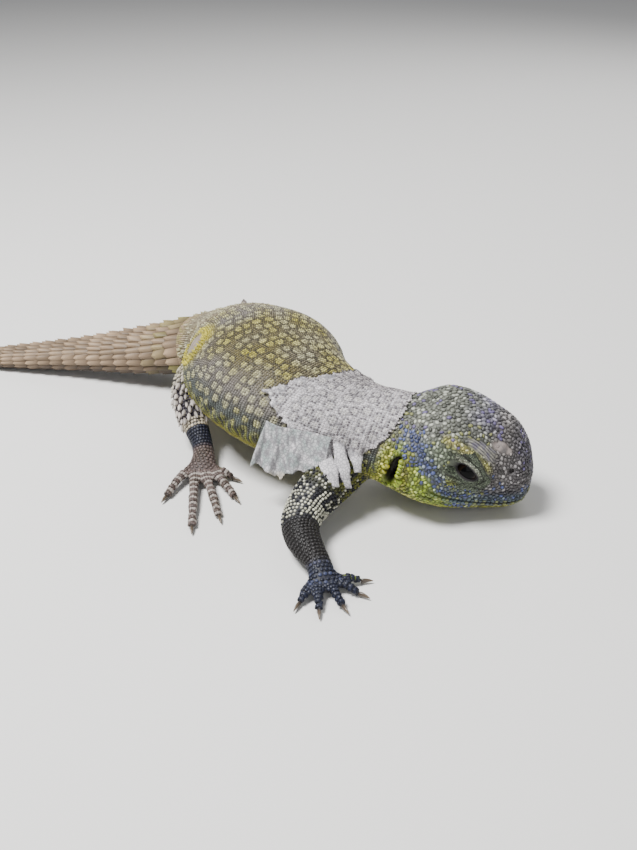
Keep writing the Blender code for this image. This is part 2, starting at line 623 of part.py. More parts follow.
def build_flap():
    """A loose sheet of shed skin over the right shoulder, hanging clear of the flank in two ragged lobes."""
    rows, columns = 6, 13
    thick = 0.6
    grid = np.zeros((2, rows, columns, 3))
    for layer in range(2):
        for j, s in enumerate(np.linspace(*FLAP_SPAN, columns)):
            reach = 0.75 + 0.25 * math.cos((s - 80) * 0.42) + 0.12 * math.cos(s * 2.1)
            for i in range(rows):
                down = i / (rows - 1) * reach
                angle = math.radians(176 + 42 * down)
                swell = 0.7 + 3.4 * down ** 2.2 + layer * thick
                grid[layer, i, j] = body_point(s, angle, swell)
    index = np.arange(2 * rows * columns).reshape(2, rows, columns)
    faces = []
    for i in range(rows - 1):
        for j in range(columns - 1):
            faces.append((index[1, i, j], index[1, i, j + 1], index[1, i + 1, j + 1], index[1, i + 1, j]))
            faces.append((index[0, i, j], index[0, i + 1, j], index[0, i + 1, j + 1], index[0, i, j + 1]))
    edge = ([(0, j) for j in range(columns)] + [(i, columns - 1) for i in range(1, rows)]
            + [(rows - 1, j) for j in range(columns - 2, -1, -1)] + [(i, 0) for i in range(rows - 2, 0, -1)])
    for (a, b), (c, d) in zip(edge, edge[1:] + edge[:1]):
        faces.append((index[0, a, b], index[0, c, d], index[1, c, d], index[1, a, b]))
    flap = solid("flap", list(grid.reshape(-1, 3)), faces)
    upper = solid("piece", *tube([limb_ring(RIGHT_ARM, ARM_WIDTH, ARM_HEIGHT, t, 12, GAP)
                                  for t in np.linspace(0, 1, 9)]))
    combine(flap, [upper], "DIFFERENCE")
    node(flap, "shed_flap", (0.420, 0.410, 0.380), 0.8)


def main():
    for obj in list(bpy.data.objects):
        bpy.data.objects.remove(obj)
    for name in ("uromastyx", "cutters"):
        bpy.context.scene.collection.children.link(bpy.data.collections.new(name))
    build_head()
    build_trunk()
    build_tail()
    build_arm(-1, RIGHT_ARM)
    build_arm(1, LEFT_ARM)
    build_leg(-1, RIGHT_LEG)
    build_leg(1, LEFT_LEG)
    build_flap()
    cutters = bpy.data.collections["cutters"]
    cutters.hide_render = True


main()
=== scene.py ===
"""A uromastyx in mid shed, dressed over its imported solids: one skin with scales, scutes, eyes and claws.

Everything is in the frame of the solids. Sizes are in millimetres and become metres where a mesh is made.
Stations count back from the snout along the spine. Angles round the body start at its left side and rise
over the back, so 180 degrees is its right side and 270 its belly.
"""

import math

import bmesh
import bpy
import numpy as np
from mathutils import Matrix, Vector, noise
from mathutils.bvhtree import BVHTree
from mathutils.kdtree import KDTree


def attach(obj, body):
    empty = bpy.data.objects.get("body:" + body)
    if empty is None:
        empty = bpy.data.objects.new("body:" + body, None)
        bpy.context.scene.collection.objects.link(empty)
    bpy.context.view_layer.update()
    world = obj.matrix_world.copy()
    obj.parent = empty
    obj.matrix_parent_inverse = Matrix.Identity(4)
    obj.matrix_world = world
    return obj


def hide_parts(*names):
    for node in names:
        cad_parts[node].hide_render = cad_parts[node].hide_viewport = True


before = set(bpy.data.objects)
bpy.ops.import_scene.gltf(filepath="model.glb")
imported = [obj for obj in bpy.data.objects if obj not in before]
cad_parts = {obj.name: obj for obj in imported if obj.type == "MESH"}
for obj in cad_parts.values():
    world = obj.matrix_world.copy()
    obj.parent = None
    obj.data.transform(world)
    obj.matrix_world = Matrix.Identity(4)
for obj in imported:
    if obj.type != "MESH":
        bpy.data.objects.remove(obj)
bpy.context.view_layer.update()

MM = 0.001
ORIGIN = np.array((8.66, -2.19, 0.0))
SEED = 4127

# The body's form, as in the solids.
SNOUT = (126.0, -4.0)
HEAD_START = 1.8
TORSO_END = 148.0
HEADING_DEG = ((0, 20), (34, 20), (44, 15), (56, 4), (72, -12), (90, -27), (112, -34), (124, -28),
               (136, -6), (148, 14), (162, 22), (190, 23), (225, 26), (258, 34))
SPINE_HEIGHT = ((0, 10.5), (38, 15.2), (48, 17.6), (60, 19.5), (78, 22.0), (100, 23.5), (118, 22.2),
                (134, 18.5), (146, 15.2), (160, 12.2), (175, 9.8), (195, 7.3), (210, 5.6), (225, 4.2),
                (258, 1.9))
HALF_WIDTH = ((1.8, 6.0), (2.8, 8.2), (4.6, 9.6), (8, 11.0), (14, 12.8), (20, 15.0), (27, 17.8), (32, 18.4),
              (38, 17.0), (45, 15.0), (51, 15.2), (58, 18.0), (68, 22.5), (80, 26.0), (93, 28.0), (104, 27.2),
              (116, 23.0), (127, 18.4), (137, 15.2), (146, 13.6), (160, 12.1), (175, 10.4), (195, 8.0),
              (225, 5.4), (258, 1.6))
TOP_HEIGHT = ((1.8, 5.0), (2.8, 8.0), (5, 12.0), (9, 16.3), (15, 19.0), (21, 20.8), (29, 21.5), (38, 17.8),
              (46, 15.6), (56, 14.2), (68, 15.4), (82, 18.0), (98, 19.2), (114, 17.4), (128, 14.2),
              (144, 11.2), (160, 9.0), (175, 7.6), (195, 5.8), (225, 4.0), (258, 1.2))
BELLY_DEPTH = ((1.8, 5.4), (2.8, 7.0), (6, 9.3), (14, 10.6), (24, 11.0), (33, 10.8), (42, 10.0), (52, 11.0),
               (64, 14.0), (82, 16.5), (100, 17.2), (117, 14.8), (132, 12.0), (144, 10.4), (160, 8.6),
               (175, 7.4), (195, 6.0), (225, 4.2), (258, 1.5))
ROUNDNESS = ((0, 2.5), (8, 2.7), (15, 2.85), (22, 3.0), (30, 2.55), (45, 2.2), (70, 2.05), (100, 1.95),
             (134, 2.05), (155, 2.4), (258, 2.2))
# The left flank is drawn in, as the body bends to that side: by how much, where and over what length.
LEFT_FLANK = (0.20, 75.0, 20.0)
MOUTH = ((-4, -3.8), (0, -3.8), (5, -4.4), (10, -4.9), (15, -4.8), (20, -4.0), (25, -2.6), (29.5, -0.8))

EYE_STATION, EYE_OUT, EYE_UP = 20.5, 11.6, 5.2
EYEBALL = 4.1
LID = 5.1
LID_OPENING = (4.3, 1.75)
# Half the length of the eye opening with its pointed corners.
LID_REACH = LID_OPENING[0] * 1.07
EAR_STATION = 40.4
EAR_SIZE = (2.0, 5.3)
NOSTRIL_STATION = 7.6
# The middle of the head and how far its finer skin reaches from it.
HEAD_MIDDLE, HEAD_REACH = 22.0, 27.0
# The bare patch before the eye: its station and its angle above the flank.
PATCH_STATION, PATCH_ANGLE = 11.8, 43.0

WHORLS = 21
WHORL_PITCH = (5.75, 4.65)

RIGHT_ARM = ((77.5, -27.0, 14.5), (76.4, -55.5, 7.6), (90.5, -68.3, 4.2), (94.8, -72.2, 1.7))
LEFT_ARM = ((63.0, -6.0, 15.0), (59.0, 14.5, 7.8), (72.5, 25.0, 4.3), (77.5, 29.5, 1.7))
RIGHT_LEG = ((8.0, -3.0, 18.0), (10.8, -23.6, 15.5), (26.9, -37.4, 5.2), (32.0, -45.5, 1.85))
LEFT_LEG = ((14.0, 16.0, 17.0), (3.0, 43.0, 11.5), (-14.0, 47.5, 5.2), (-20.5, 55.0, 1.85))
ARM_WIDTH = ((0, 8.0), (0.6, 6.6), (1, 5.7), (1.35, 5.2), (1.8, 4.0), (2, 3.7), (2.5, 4.4), (3, 4.9))
ARM_HEIGHT = ((0, 8.0), (0.6, 7.0), (1, 5.4), (1.35, 4.8), (1.8, 3.3), (2, 2.9), (2.5, 2.2), (3, 2.0))
LEG_WIDTH = ((0, 9.0), (0.5, 7.2), (1, 5.2), (1.4, 4.7), (1.85, 3.6), (2, 3.5), (2.5, 4.4), (3, 5.2))
LEG_HEIGHT = ((0, 9.0), (0.5, 7.4), (1, 5.2), (1.4, 4.6), (1.85, 3.4), (2, 3.2), (2.5, 2.6), (3, 2.2))
FINGERS = ((-3.4, -80, 5.0), (-2.2, -44, 6.5), (-0.4, -12, 8.0), (1.6, 14, 8.0), (3.2, 42, 5.5))
TOES = ((-4.3, -60, 5.0), (-2.8, -32, 14.5), (-0.6, -16, 23.0), (2.0, -4, 27.5), (4.0, 22, 12.5))
LIMBS = (
    ("right_arm", RIGHT_ARM, ARM_WIDTH, ARM_HEIGHT, -1, FINGERS, 1.25),
    ("left_arm", LEFT_ARM, ARM_WIDTH, ARM_HEIGHT, 1, FINGERS, 1.25),
    ("right_leg", RIGHT_LEG, LEG_WIDTH, LEG_HEIGHT, -1, TOES, 1.3),
    ("left_leg", LEFT_LEG, LEG_WIDTH, LEG_HEIGHT, 1, TOES, 1.3),
)

# How far the skin lies inside the solids, so that its scales reach their surface.
SKIN_IN = 0.25
# The edge of a voxel of the skin, the skin's least height over the floor, and the most faces of a piece.
VOXEL = 0.88
FLOOR_GAP = 0.06
PIECE_FACES = 180000
# How far a scale may lie from the skin that it grows on, in metres, the size of its patch of the unwrap, and
# how much scales of one colour differ in tone.
SEED_REACH = 0.0012
UV_PATCH = 0.0014
TONE_RANGE = 0.12

CAMERA_AT = (204.6, -251.5, 173.4)
CAMERA_AZIMUTH, CAMERA_DOWN, CAMERA_LENS = 32.0, 30.0, 42.35
# Lamps: name, place and size in metres, and power in watts.
LAMPS = (
    ("key", (-0.16, -0.26, 0.72), 0.26, 15.0),
    ("fill", (0.60, -0.50, 0.35), 0.6, 1.8),
    ("back", (0.05, 0.60, 0.50), 0.5, 2.6),
)

# Colours, linear.
GROUND = (0.215, 0.195, 0.175)
NET = (0.045, 0.040, 0.028)
OLIVE = (0.160, 0.135, 0.050)
TAN = (0.290, 0.235, 0.145)
FLANK = (0.105, 0.122, 0.115)
RING = (0.520, 0.500, 0.330)
YELLOW = (0.480, 0.430, 0.055)
YELLOW_GREEN = (0.330, 0.350, 0.048)
BELLY = (0.400, 0.380, 0.200)
SHED_PALE = (0.660, 0.620, 0.640)
SHED_NET = (0.150, 0.132, 0.145)
SHED_DAMP = (0.250, 0.300, 0.290)
SHED_CUFF = (0.480, 0.420, 0.320)
CROWN = (0.175, 0.185, 0.155)
CREAM = (0.520, 0.500, 0.400)
VIOLET = (0.190, 0.160, 0.330)
BLUE = (0.075, 0.100, 0.260)
LIME = (0.270, 0.370, 0.030)
TEMPLE = (0.170, 0.210, 0.140)
# Dark muzzle colour, also used as painted shade in the grooves of the wrinkles between brow and crown.
MUZZLE_AND_WRINKLE_SHADE = (0.052, 0.048, 0.075)
SNOUT_GREY = (0.150, 0.140, 0.140)
ROSE_GREY = (0.310, 0.265, 0.245)
WRINKLE_GREY = (0.240, 0.235, 0.225)
BROW = (0.560, 0.530, 0.170)
LID_PALE = (0.250, 0.285, 0.225)
LID_GREEN = (0.085, 0.110, 0.070)
# Near black, used only as painted shade: in the lid grooves, round the lid opening and in the ear openings.
LID_AND_EAR_SHADE = (0.020, 0.016, 0.018)
LIP = (0.080, 0.120, 0.150)
TAIL_TAN = (0.430, 0.310, 0.205)
TAIL_DARK = (0.060, 0.042, 0.030)
LEG_DARK = (0.022, 0.016, 0.026)
LEG_RIDGE = (0.330, 0.290, 0.190)
THORN_CREAM = (0.560, 0.510, 0.470)
ROSETTE = (0.480, 0.420, 0.045)
GROIN = (0.290, 0.230, 0.190)
ARM_BLACK = (0.012, 0.013, 0.020)
ARM_DOT = (0.640, 0.640, 0.520)
FOREARM = (0.013, 0.011, 0.011)
HAND = (0.013, 0.016, 0.034)
FOOT = (0.115, 0.085, 0.078)
ANKLE = (0.012, 0.014, 0.028)


# The form of body, limbs and eyes.

def through(table, s):
    """A smooth curve with no overshoot through the (position, value) pairs of a table."""
    x, y = (np.array(column, float) for column in zip(*table))
    step, rise = np.diff(x), np.diff(y)
    slope = rise / step
    turn = slope[:-1] * slope[1:] > 0
    inner = np.where(turn, 2 * slope[:-1] * slope[1:] / np.where(turn, slope[:-1] + slope[1:], 1), 0)
    tangent = np.concatenate([[slope[0]], inner, [slope[-1]]])
    s = np.clip(s, x[0], x[-1])
    k = np.clip(np.searchsorted(x, s, side="right") - 1, 0, len(step) - 1)
    t = (s - x[k]) / step[k]
    return (y[k] * (1 + 2 * t) * (1 - t) ** 2 + tangent[k] * step[k] * t * (1 - t) ** 2
            + y[k + 1] * t * t * (3 - 2 * t) + tangent[k + 1] * step[k] * t * t * (t - 1))


def running_sum(s, rate):
    """The path length that a rate adds up to, counted from the snout."""
    total = np.concatenate([[0.0], np.cumsum((rate[1:] + rate[:-1]) / 2 * np.diff(s))])
    return total - np.interp(0.0, s, total)


STEPS = np.arange(-6.0, 275.0, 0.5)
HEADING = np.radians(through(HEADING_DEG, STEPS))
CLIMB = np.gradient(through(SPINE_HEIGHT, STEPS), STEPS)
SPINE_X = SNOUT[0] - running_sum(STEPS, np.cos(HEADING) * np.sqrt(1 - CLIMB ** 2))
SPINE_Y = SNOUT[1] - running_sum(STEPS, np.sin(HEADING) * np.sqrt(1 - CLIMB ** 2))


def spine(s):
    """The point of the spine at a station, with the directions forward, left and up there."""
    s = np.asarray(s, float)
    x, y = np.interp(s, STEPS, SPINE_X), np.interp(s, STEPS, SPINE_Y)
    point = np.stack([x, y, through(SPINE_HEIGHT, s)], -1)
    heading, climb = np.interp(s, STEPS, HEADING), np.interp(s, STEPS, CLIMB)
    level = np.sqrt(1 - climb ** 2)
    forward = np.stack([np.cos(heading) * level, np.sin(heading) * level, -climb], -1)
    left = np.stack([-np.sin(heading), np.cos(heading), 0 * heading], -1)
    return point, forward, left, np.cross(forward, left)


def bump(x, centre, width):
    """A smooth hill of height 1."""
    return np.exp(-((x - centre) / width) ** 2)


def ease(x, low, high):
    """A smooth step from 0 at low to 1 at high."""
    t = np.clip((x - low) / (high - low), 0, 1)
    return t * t * (3 - 2 * t)


def side_angle(angle):
    """The angle above the flank, the same on both sides: -90 belly, 0 flank, 90 back."""
    return np.degrees(np.arcsin(np.clip(np.sin(angle), -1, 1)))


def relief(s, angle):
    """Height of the folds and ridges over the plain form."""
    a = side_angle(angle)
    brow = 1.3 * bump(a, 30 + (s - 20.7) * 1.7, 7) * ease(s, 12, 16) * (1 - ease(s, 25, 29))
    hollow = -0.9 * bump(a, 24, 16) * bump(s, 11.0, 3.2)
    muzzle = 0.5 * bump(a, 30, 20) * bump(s, 5.0, 2.5)
    cheek = 0.8 * bump(a, -12, 16) * bump(s, 30.5, 4.0)
    ear_rim = 1.0 * bump(a, 10, 30) * (bump(s, 37.4, 1.3) + 0.6 * bump(s, 43.2, 1.2))
    folds = 0.8 * bump(a, -10, 38) * np.sin((s - 44) * 1.35) * bump(s, 50.5, 5.0)
    return brow + hollow + muzzle + cheek + ear_rim + folds


def body_point(s, angle, swell=0.0):
    """The surface of head, trunk or tail at a station and an angle round it."""
    point, _, left, up = spine(s)
    roundness = through(ROUNDNESS, s)
    cosine, sine = np.cos(angle), np.sin(angle)
    depth = np.where(sine > 0, through(TOP_HEIGHT, s), through(BELLY_DEPTH, s))
    drawn_in = 1 - LEFT_FLANK[0] * (cosine > 0) * bump(s, LEFT_FLANK[1], LEFT_FLANK[2])
    across = through(HALF_WIDTH, s) * drawn_in * np.sign(cosine) * np.abs(cosine) ** (2 / roundness)
    above = depth * np.sign(sine) * np.abs(sine) ** (2 / roundness)
    away = np.stack([cosine * depth, sine * through(HALF_WIDTH, s)], -1)
    away = away / np.linalg.norm(away, axis=-1, keepdims=True)
    out = relief(s, angle) + swell
    return (point + left * (across + away[..., 0] * out)[..., None]
            + up * (above + away[..., 1] * out)[..., None])


def limb_path(joints, t):
    """Points of a smooth path through the joints, by joint number."""
    at = np.array(joints, float)
    slope = np.gradient(at, axis=0)
    t = np.asarray(t, float)
    k = np.clip(np.floor(t).astype(int), 0, len(at) - 2)
    t = (t - k)[..., None]
    return (at[k] * (1 + 2 * t) * (1 - t) ** 2 + slope[k] * t * (1 - t) ** 2
            + at[k + 1] * t * t * (3 - 2 * t) + slope[k + 1] * t * t * (t - 1))


def limb_axes(joints, t):
    """Directions along, across and up at a position of a limb."""
    run = limb_path(joints, np.asarray(t, float) + 0.02) - limb_path(joints, np.asarray(t, float) - 0.02)
    run /= np.linalg.norm(run, axis=-1, keepdims=True)
    side = np.cross(run, (0, 0, 1.0))
    side /= np.linalg.norm(side, axis=-1, keepdims=True)
    return run, side, np.cross(side, run)


def limb_point(joints, widths, heights, t, angle, swell=0.0):
    """The surface of a limb at a position and an angle round it."""
    _, side, up = limb_axes(joints, t)
    return (limb_path(joints, t) + side * (np.cos(angle) * (through(widths, t) + swell))[..., None]
            + up * (np.sin(angle) * (through(heights, t) + swell))[..., None])


def toe_path(joints, side, toe, thickness, count=9):
    """The centre line of one toe, arched from its root in the foot to its tip near the floor."""
    across, spread, length = toe
    end, run = np.array(joints[3], float), np.array(joints[3]) - np.array(joints[2])
    run[2] = 0.0
    run /= np.linalg.norm(run)
    inner = np.array([-run[1], run[0], 0.0]) * -side
    angle = math.radians(spread)
    heading = run * math.cos(angle) + inner * -math.sin(angle)
    start = end + inner * -across - run * 2.0
    t = np.linspace(0, 1, count)
    points = start + heading * ((length + 2.0) * t)[:, None]
    points[:, 2] = through(((0.0, 2.0), (0.4, 2.6), (0.75, 1.9), (1.0, thickness * 0.80)), t)
    return points, heading


def eye_frame(side):
    """Centre of an eye and the directions along the lids, up and out of it. The side is 1 left, -1 right."""
    point, forward, left, up = spine(EYE_STATION)
    centre = point + left * side * EYE_OUT + up * EYE_UP
    out = left * side + forward * 0.16 + up * 0.14
    out /= np.linalg.norm(out)
    along = forward - up * 0.55
    along -= out * (along @ out)
    along /= np.linalg.norm(along)
    return centre, along, np.cross(along, out) * side, out


def lid_edges(t):
    """Heights of the upper and the lower lid's edge along the opening, from -1 behind to 1 in front."""
    upper = LID_OPENING[1] * 1.10 * (1 - t) ** 0.9 * (1 + t) ** 0.5 / 1.06
    lower = -LID_OPENING[1] * 0.92 * (1 - t) ** 0.8 * (1 + t) ** 0.55 / 1.05
    return upper, lower


def lid_outline():
    """The opening between the lids, in mm along and up over the eye."""
    t = np.cos(np.linspace(0, math.pi, 40))
    upper, lower = lid_edges(t)
    x = LID_REACH * t
    return np.concatenate([np.column_stack([x, upper]), np.column_stack([x, lower])[::-1]])


LID_OUTLINE = lid_outline()


def lid_place(points, side):
    """Where points lie about an eye: distance from the opening's edge (negative inside), turn round the eye,
    distance from the eye's centre, and how far they face outwards."""
    centre, along, upward, out = eye_frame(side)
    local = (points - centre) @ np.stack([along, upward, out]).T
    radius = np.linalg.norm(local, axis=1) + 1e-9
    facing = local[:, 2] / radius
    turn = np.arctan2(local[:, 1], local[:, 0])
    arc = np.arccos(np.clip(facing, -1, 1)) * LID
    x, y = arc * np.cos(turn), arc * np.sin(turn)
    gap = np.full(len(points), 9.0)
    near = (facing > 0.0) & (radius < 9)
    if near.any():
        flat = np.column_stack([x, y])[near]
        away = np.sqrt(((flat[:, None] - LID_OUTLINE[None]) ** 2).sum(-1).min(1))
        t = np.clip(flat[:, 0] / LID_REACH, -1, 1)
        upper, lower = lid_edges(t)
        inside = (flat[:, 1] < upper) & (flat[:, 1] > lower) & (np.abs(t) < 1)
        gap[near] = np.where(inside, -away, away)
    return gap, turn, radius, facing


def on_eye(radius, facing):
    """Whether points lie on the eye's own bulge, turned outwards."""
    return (facing > 0.1) & (radius < 8)


def locate(points):
    """Station, angle and reach of points about the body. A reach of 1 lies on its plain surface."""
    s = np.empty(len(points))
    at = spine(STEPS)[0]
    for first in range(0, len(points), 4000):
        part = points[first:first + 4000]
        s[first:first + 4000] = STEPS[((part[:, None, :] - at[None]) ** 2).sum(-1).argmin(1)]
    point, forward, left, up = spine(s)
    s = s - ((points - point) * forward).sum(-1)
    point, forward, left, up = spine(s)
    x, y = ((points - point) * left).sum(-1), ((points - point) * up).sum(-1)
    depth = np.where(y > 0, through(TOP_HEIGHT, s), through(BELLY_DEPTH, s))
    width, n = through(HALF_WIDTH, s), through(ROUNDNESS, s)
    width = width * (1 - LEFT_FLANK[0] * (x > 0) * bump(s, LEFT_FLANK[1], LEFT_FLANK[2]))
    reach = ((np.abs(x) / width) ** n + (np.abs(y) / depth) ** n) ** (1 / n) + 1e-6
    cosine = np.sign(x) * (np.abs(x) / width / reach) ** (n / 2)
    sine = np.sign(y) * (np.abs(y) / depth / reach) ** (n / 2)
    return s, np.arctan2(sine, cosine) % (2 * math.pi), reach


def limb_locate(points, joints, widths, heights):
    """Position along a limb and reach about it, for points near it."""
    grid = np.linspace(0, 3, 121)
    at = limb_path(joints, grid)
    t = np.empty(len(points))
    away = np.empty(len(points))
    for first in range(0, len(points), 8000):
        gap = ((points[first:first + 8000, None, :] - at[None]) ** 2).sum(-1)
        t[first:first + 8000] = grid[gap.argmin(1)]
        away[first:first + 8000] = np.sqrt(gap.min(1))
    return t, away / np.maximum(through(widths, t), through(heights, t))


def nostril_at(side):
    """The place of one nostril."""
    return body_point(NOSTRIL_STATION, math.pi / 2 - side * math.radians(72))


def metres(points):
    """Points in the frame of the solids, in metres."""
    return (np.asarray(points, float) - ORIGIN) * MM


def millimetres(verts):
    """The places of a mesh's points in millimetres, before they were moved to the origin."""
    return np.array([vert.co[:] for vert in verts]) / MM + ORIGIN


def kd_tree(points):
    """A tree that finds the nearest of some points."""
    tree = KDTree(len(points))
    for index, point in enumerate(points):
        tree.insert(Vector(point), index)
    tree.balance()
    return tree


# Markings, for skin and scales.

def plain(colour, count):
    """One colour for each of so many points."""
    return np.tile(np.array(colour), (count, 1))


def blend(base, colour, amount):
    """Mixes a colour into an array of colours, by one amount or by one for each."""
    amount = np.clip(np.broadcast_to(amount, len(base)), 0, 1)[:, None]
    return base * (1 - amount) + np.array(colour) * amount


def grain(points, size, lift=0.0):
    """Seeded smooth noise from -1 to 1 at points."""
    scaled = np.asarray(points) / size + lift
    return np.array([noise.noise(Vector(p)) for p in scaled]) * 1.6


def eyespots():
    """Centres and sizes of the pale ring spots of neck, back and flanks."""
    rng = np.random.default_rng(SEED)
    places, sizes = [], []
    for row, s in enumerate(np.arange(45.0, 150.0, 3.1)):
        angles = np.linspace(0, 2 * math.pi, 241)[:-1]
        ring = body_point(np.full(240, s), angles)
        length = np.cumsum(np.linalg.norm(np.roll(ring, -1, 0) - ring, axis=1))
        for k in np.arange((row % 2) * 1.75, length[-1], 3.5):
            angle = np.interp(k + rng.normal(0, 0.5), length, angles)
            if math.sin(angle) < -0.35:
                continue
            places.append(body_point(s + rng.normal(0, 0.45), angle))
            sizes.append(rng.uniform(0.95, 1.38) * (0.8 if math.sin(angle) < 0.1 else 1.0))
    return np.array(places), np.array(sizes)


SPOT_AT, SPOT_SIZE = eyespots()
SPOT_TREE = kd_tree(SPOT_AT)


def spot_mask(points):
    """How pale the ring spots make each point, and how dark their centres and the net round them make it."""
    pale, dark = np.empty(len(points)), np.empty(len(points))
    for i, point in enumerate(points):
        (_, index, gap), (_, _, other) = SPOT_TREE.find_n(Vector(point), 2)
        size = min(SPOT_SIZE[index], (gap + other) / 2 - 0.42)
        pale[i] = min(max((size - gap) / 0.4 + 0.5, 0.0), 1.0)
        dark[i] = math.exp(-((gap - size - 0.38) / 0.34) ** 2)
        if index % 4 < 3:
            centre = math.exp(-(gap / 0.50) ** 2)
            pale[i] *= 1 - 0.95 * centre
            dark[i] = max(dark[i], centre)
    return pale, dark


# The torn edge of the loose skin, as (station, angle in degrees).
SHED_EDGE = ((42.0, 40), (42.6, 90), (43.2, 122), (44.3, 146), (46.2, 162), (48.6, 173), (51.5, 180),
             (55.0, 182), (59.0, 174), (63.0, 165), (67.0, 158), (72.5, 143.5), (75.8, 138.5), (73.4, 130),
             (71.2, 112), (66.8, 96), (64.5, 58), (60.0, 38))


def shed_mask(s, angle, points, torn=1.0):
    """The loose pale skin over neck and shoulder: 1 inside its torn edge."""
    rough = grain(points, 0.9, 11.0) * torn
    x, y = s + 0.7 * rough, np.degrees(angle) + 2.2 * rough
    inside = np.zeros(len(points), bool)
    for (x0, y0), (x1, y1) in zip(SHED_EDGE, SHED_EDGE[1:] + SHED_EDGE[:1]):
        crosses = ((y0 > y) != (y1 > y))
        inside ^= crosses & (x < (x1 - x0) * (y - y0) / (y1 - y0 + 1e-9) + x0)
    return inside.astype(float)


def body_colour(s, angle, points, bare=False):
    """Colours of head, trunk and tail. The bare skin's colours leave the loose skin out."""
    a = side_angle(angle)
    rough, broad = grain(points, 1.3), grain(points, 7.0, 3.0)
    count = len(s)
    colour = plain(GROUND, count)
    front = (1 - ease(s, 92, 112)) * ease(a, 28, 58)
    colour = blend(colour, OLIVE, 0.85 * front + 0.3 * broad)
    colour = blend(colour, TAN, ease(s, 106, 126) * ease(a, 8, 40) * (0.85 + 0.3 * broad))
    colour = blend(colour, FLANK, ease(-a, -34, -6) * (1 - 0.5 * ease(s, 120, 136)))
    fade = (1 - ease(-a, 2, 22)) * (1 - 0.65 * ease(s, 122, 140) * ease(a, 10, 40))
    pale, dark = spot_mask(points)
    ring = blend(plain(RING, count), YELLOW, 0.08 + 0.45 * front + 0.4 * broad)
    ring = blend(ring, YELLOW_GREEN, 0.5 * ease(-a, -25, 0))
    colour = blend(colour, NET, dark * fade * (0.60 + 0.2 * front))
    colour = blend_arrays(colour, ring, pale * fade)
    stripe = ease(np.sin(s * 3.6 + 1.5 * broad), -0.5, 0.6)
    colour = blend(colour, YELLOW_GREEN, ease(-a, -6, 12) * (1 - ease(-a, 26, 40)) * stripe * 0.75)
    colour = blend(colour, NET, 0.5 * ease(-a, -10, 8) * (1 - ease(-a, 26, 40)) * (1 - stripe))
    colour = blend(colour, BELLY, ease(-a, 26, 44))
    colour = blend(colour, YELLOW, 0.7 * bump(a, -24, 7))
    gap = np.linalg.norm(points - ROSETTE_AT, axis=1)
    colour = blend(colour, ROSETTE, bump(gap, 6.6, 2.2) * (0.75 + 0.4 * rough))
    colour = blend(colour, GROIN, 0.75 * (1 - ease(gap, 2.6, 4.4)))
    if not bare:
        shed = shed_mask(s, angle, points)
        colour = blend_arrays(colour, shed_colour(points, rough), shed)
    shade = 0.12 + 0.25 * broad + 0.75 * ease(-a, -4, 30)
    tail = blend(plain(TAIL_TAN, count), TAIL_DARK, shade)
    tail = blend(tail, YELLOW_GREEN, 0.45 * (1 - ease(s, 150, 170)) * ease(rough, -0.3, 0.5))
    colour = blend_arrays(colour, tail, ease(s, 141, 150))
    head = head_colour(s, a, points, rough)
    return blend_arrays(head, colour, ease(s + 1.2 * rough, 43.5, 46))


def blend_arrays(first, second, amount):
    """Goes from one array of colours to another."""
    amount = np.clip(amount, 0, 1)[:, None]
    return first * (1 - amount) + second * amount


def shed_colour(points, rough):
    """Pale loose skin with the grey ghost of the net and of the spots' centres."""
    pale, dark = spot_mask(points)
    colour = blend(plain(SHED_PALE, len(points)), SHED_NET, 0.95 * dark + 0.10 + 0.20 * rough)
    return blend(colour, CREAM, 0.25 * pale)


# The yellow rosette at the groin.
ROSETTE_STATION = 108.0
ROSETTE_AT = body_point(ROSETTE_STATION, math.radians(146))


def blue_line(a):
    """The station of the band of blue scales behind the eye, at an angle above the flank."""
    line = ((-20, 19), (-8, 23.0), (4, 28.0), (12, 31.5), (24, 34.5), (42, 37.0), (62, 38.5))
    return through(line, a)


def brow_angle(s):
    """The angle above the flank of the pale line over the eye."""
    return 25.5 + (s - EYE_STATION) * 1.8


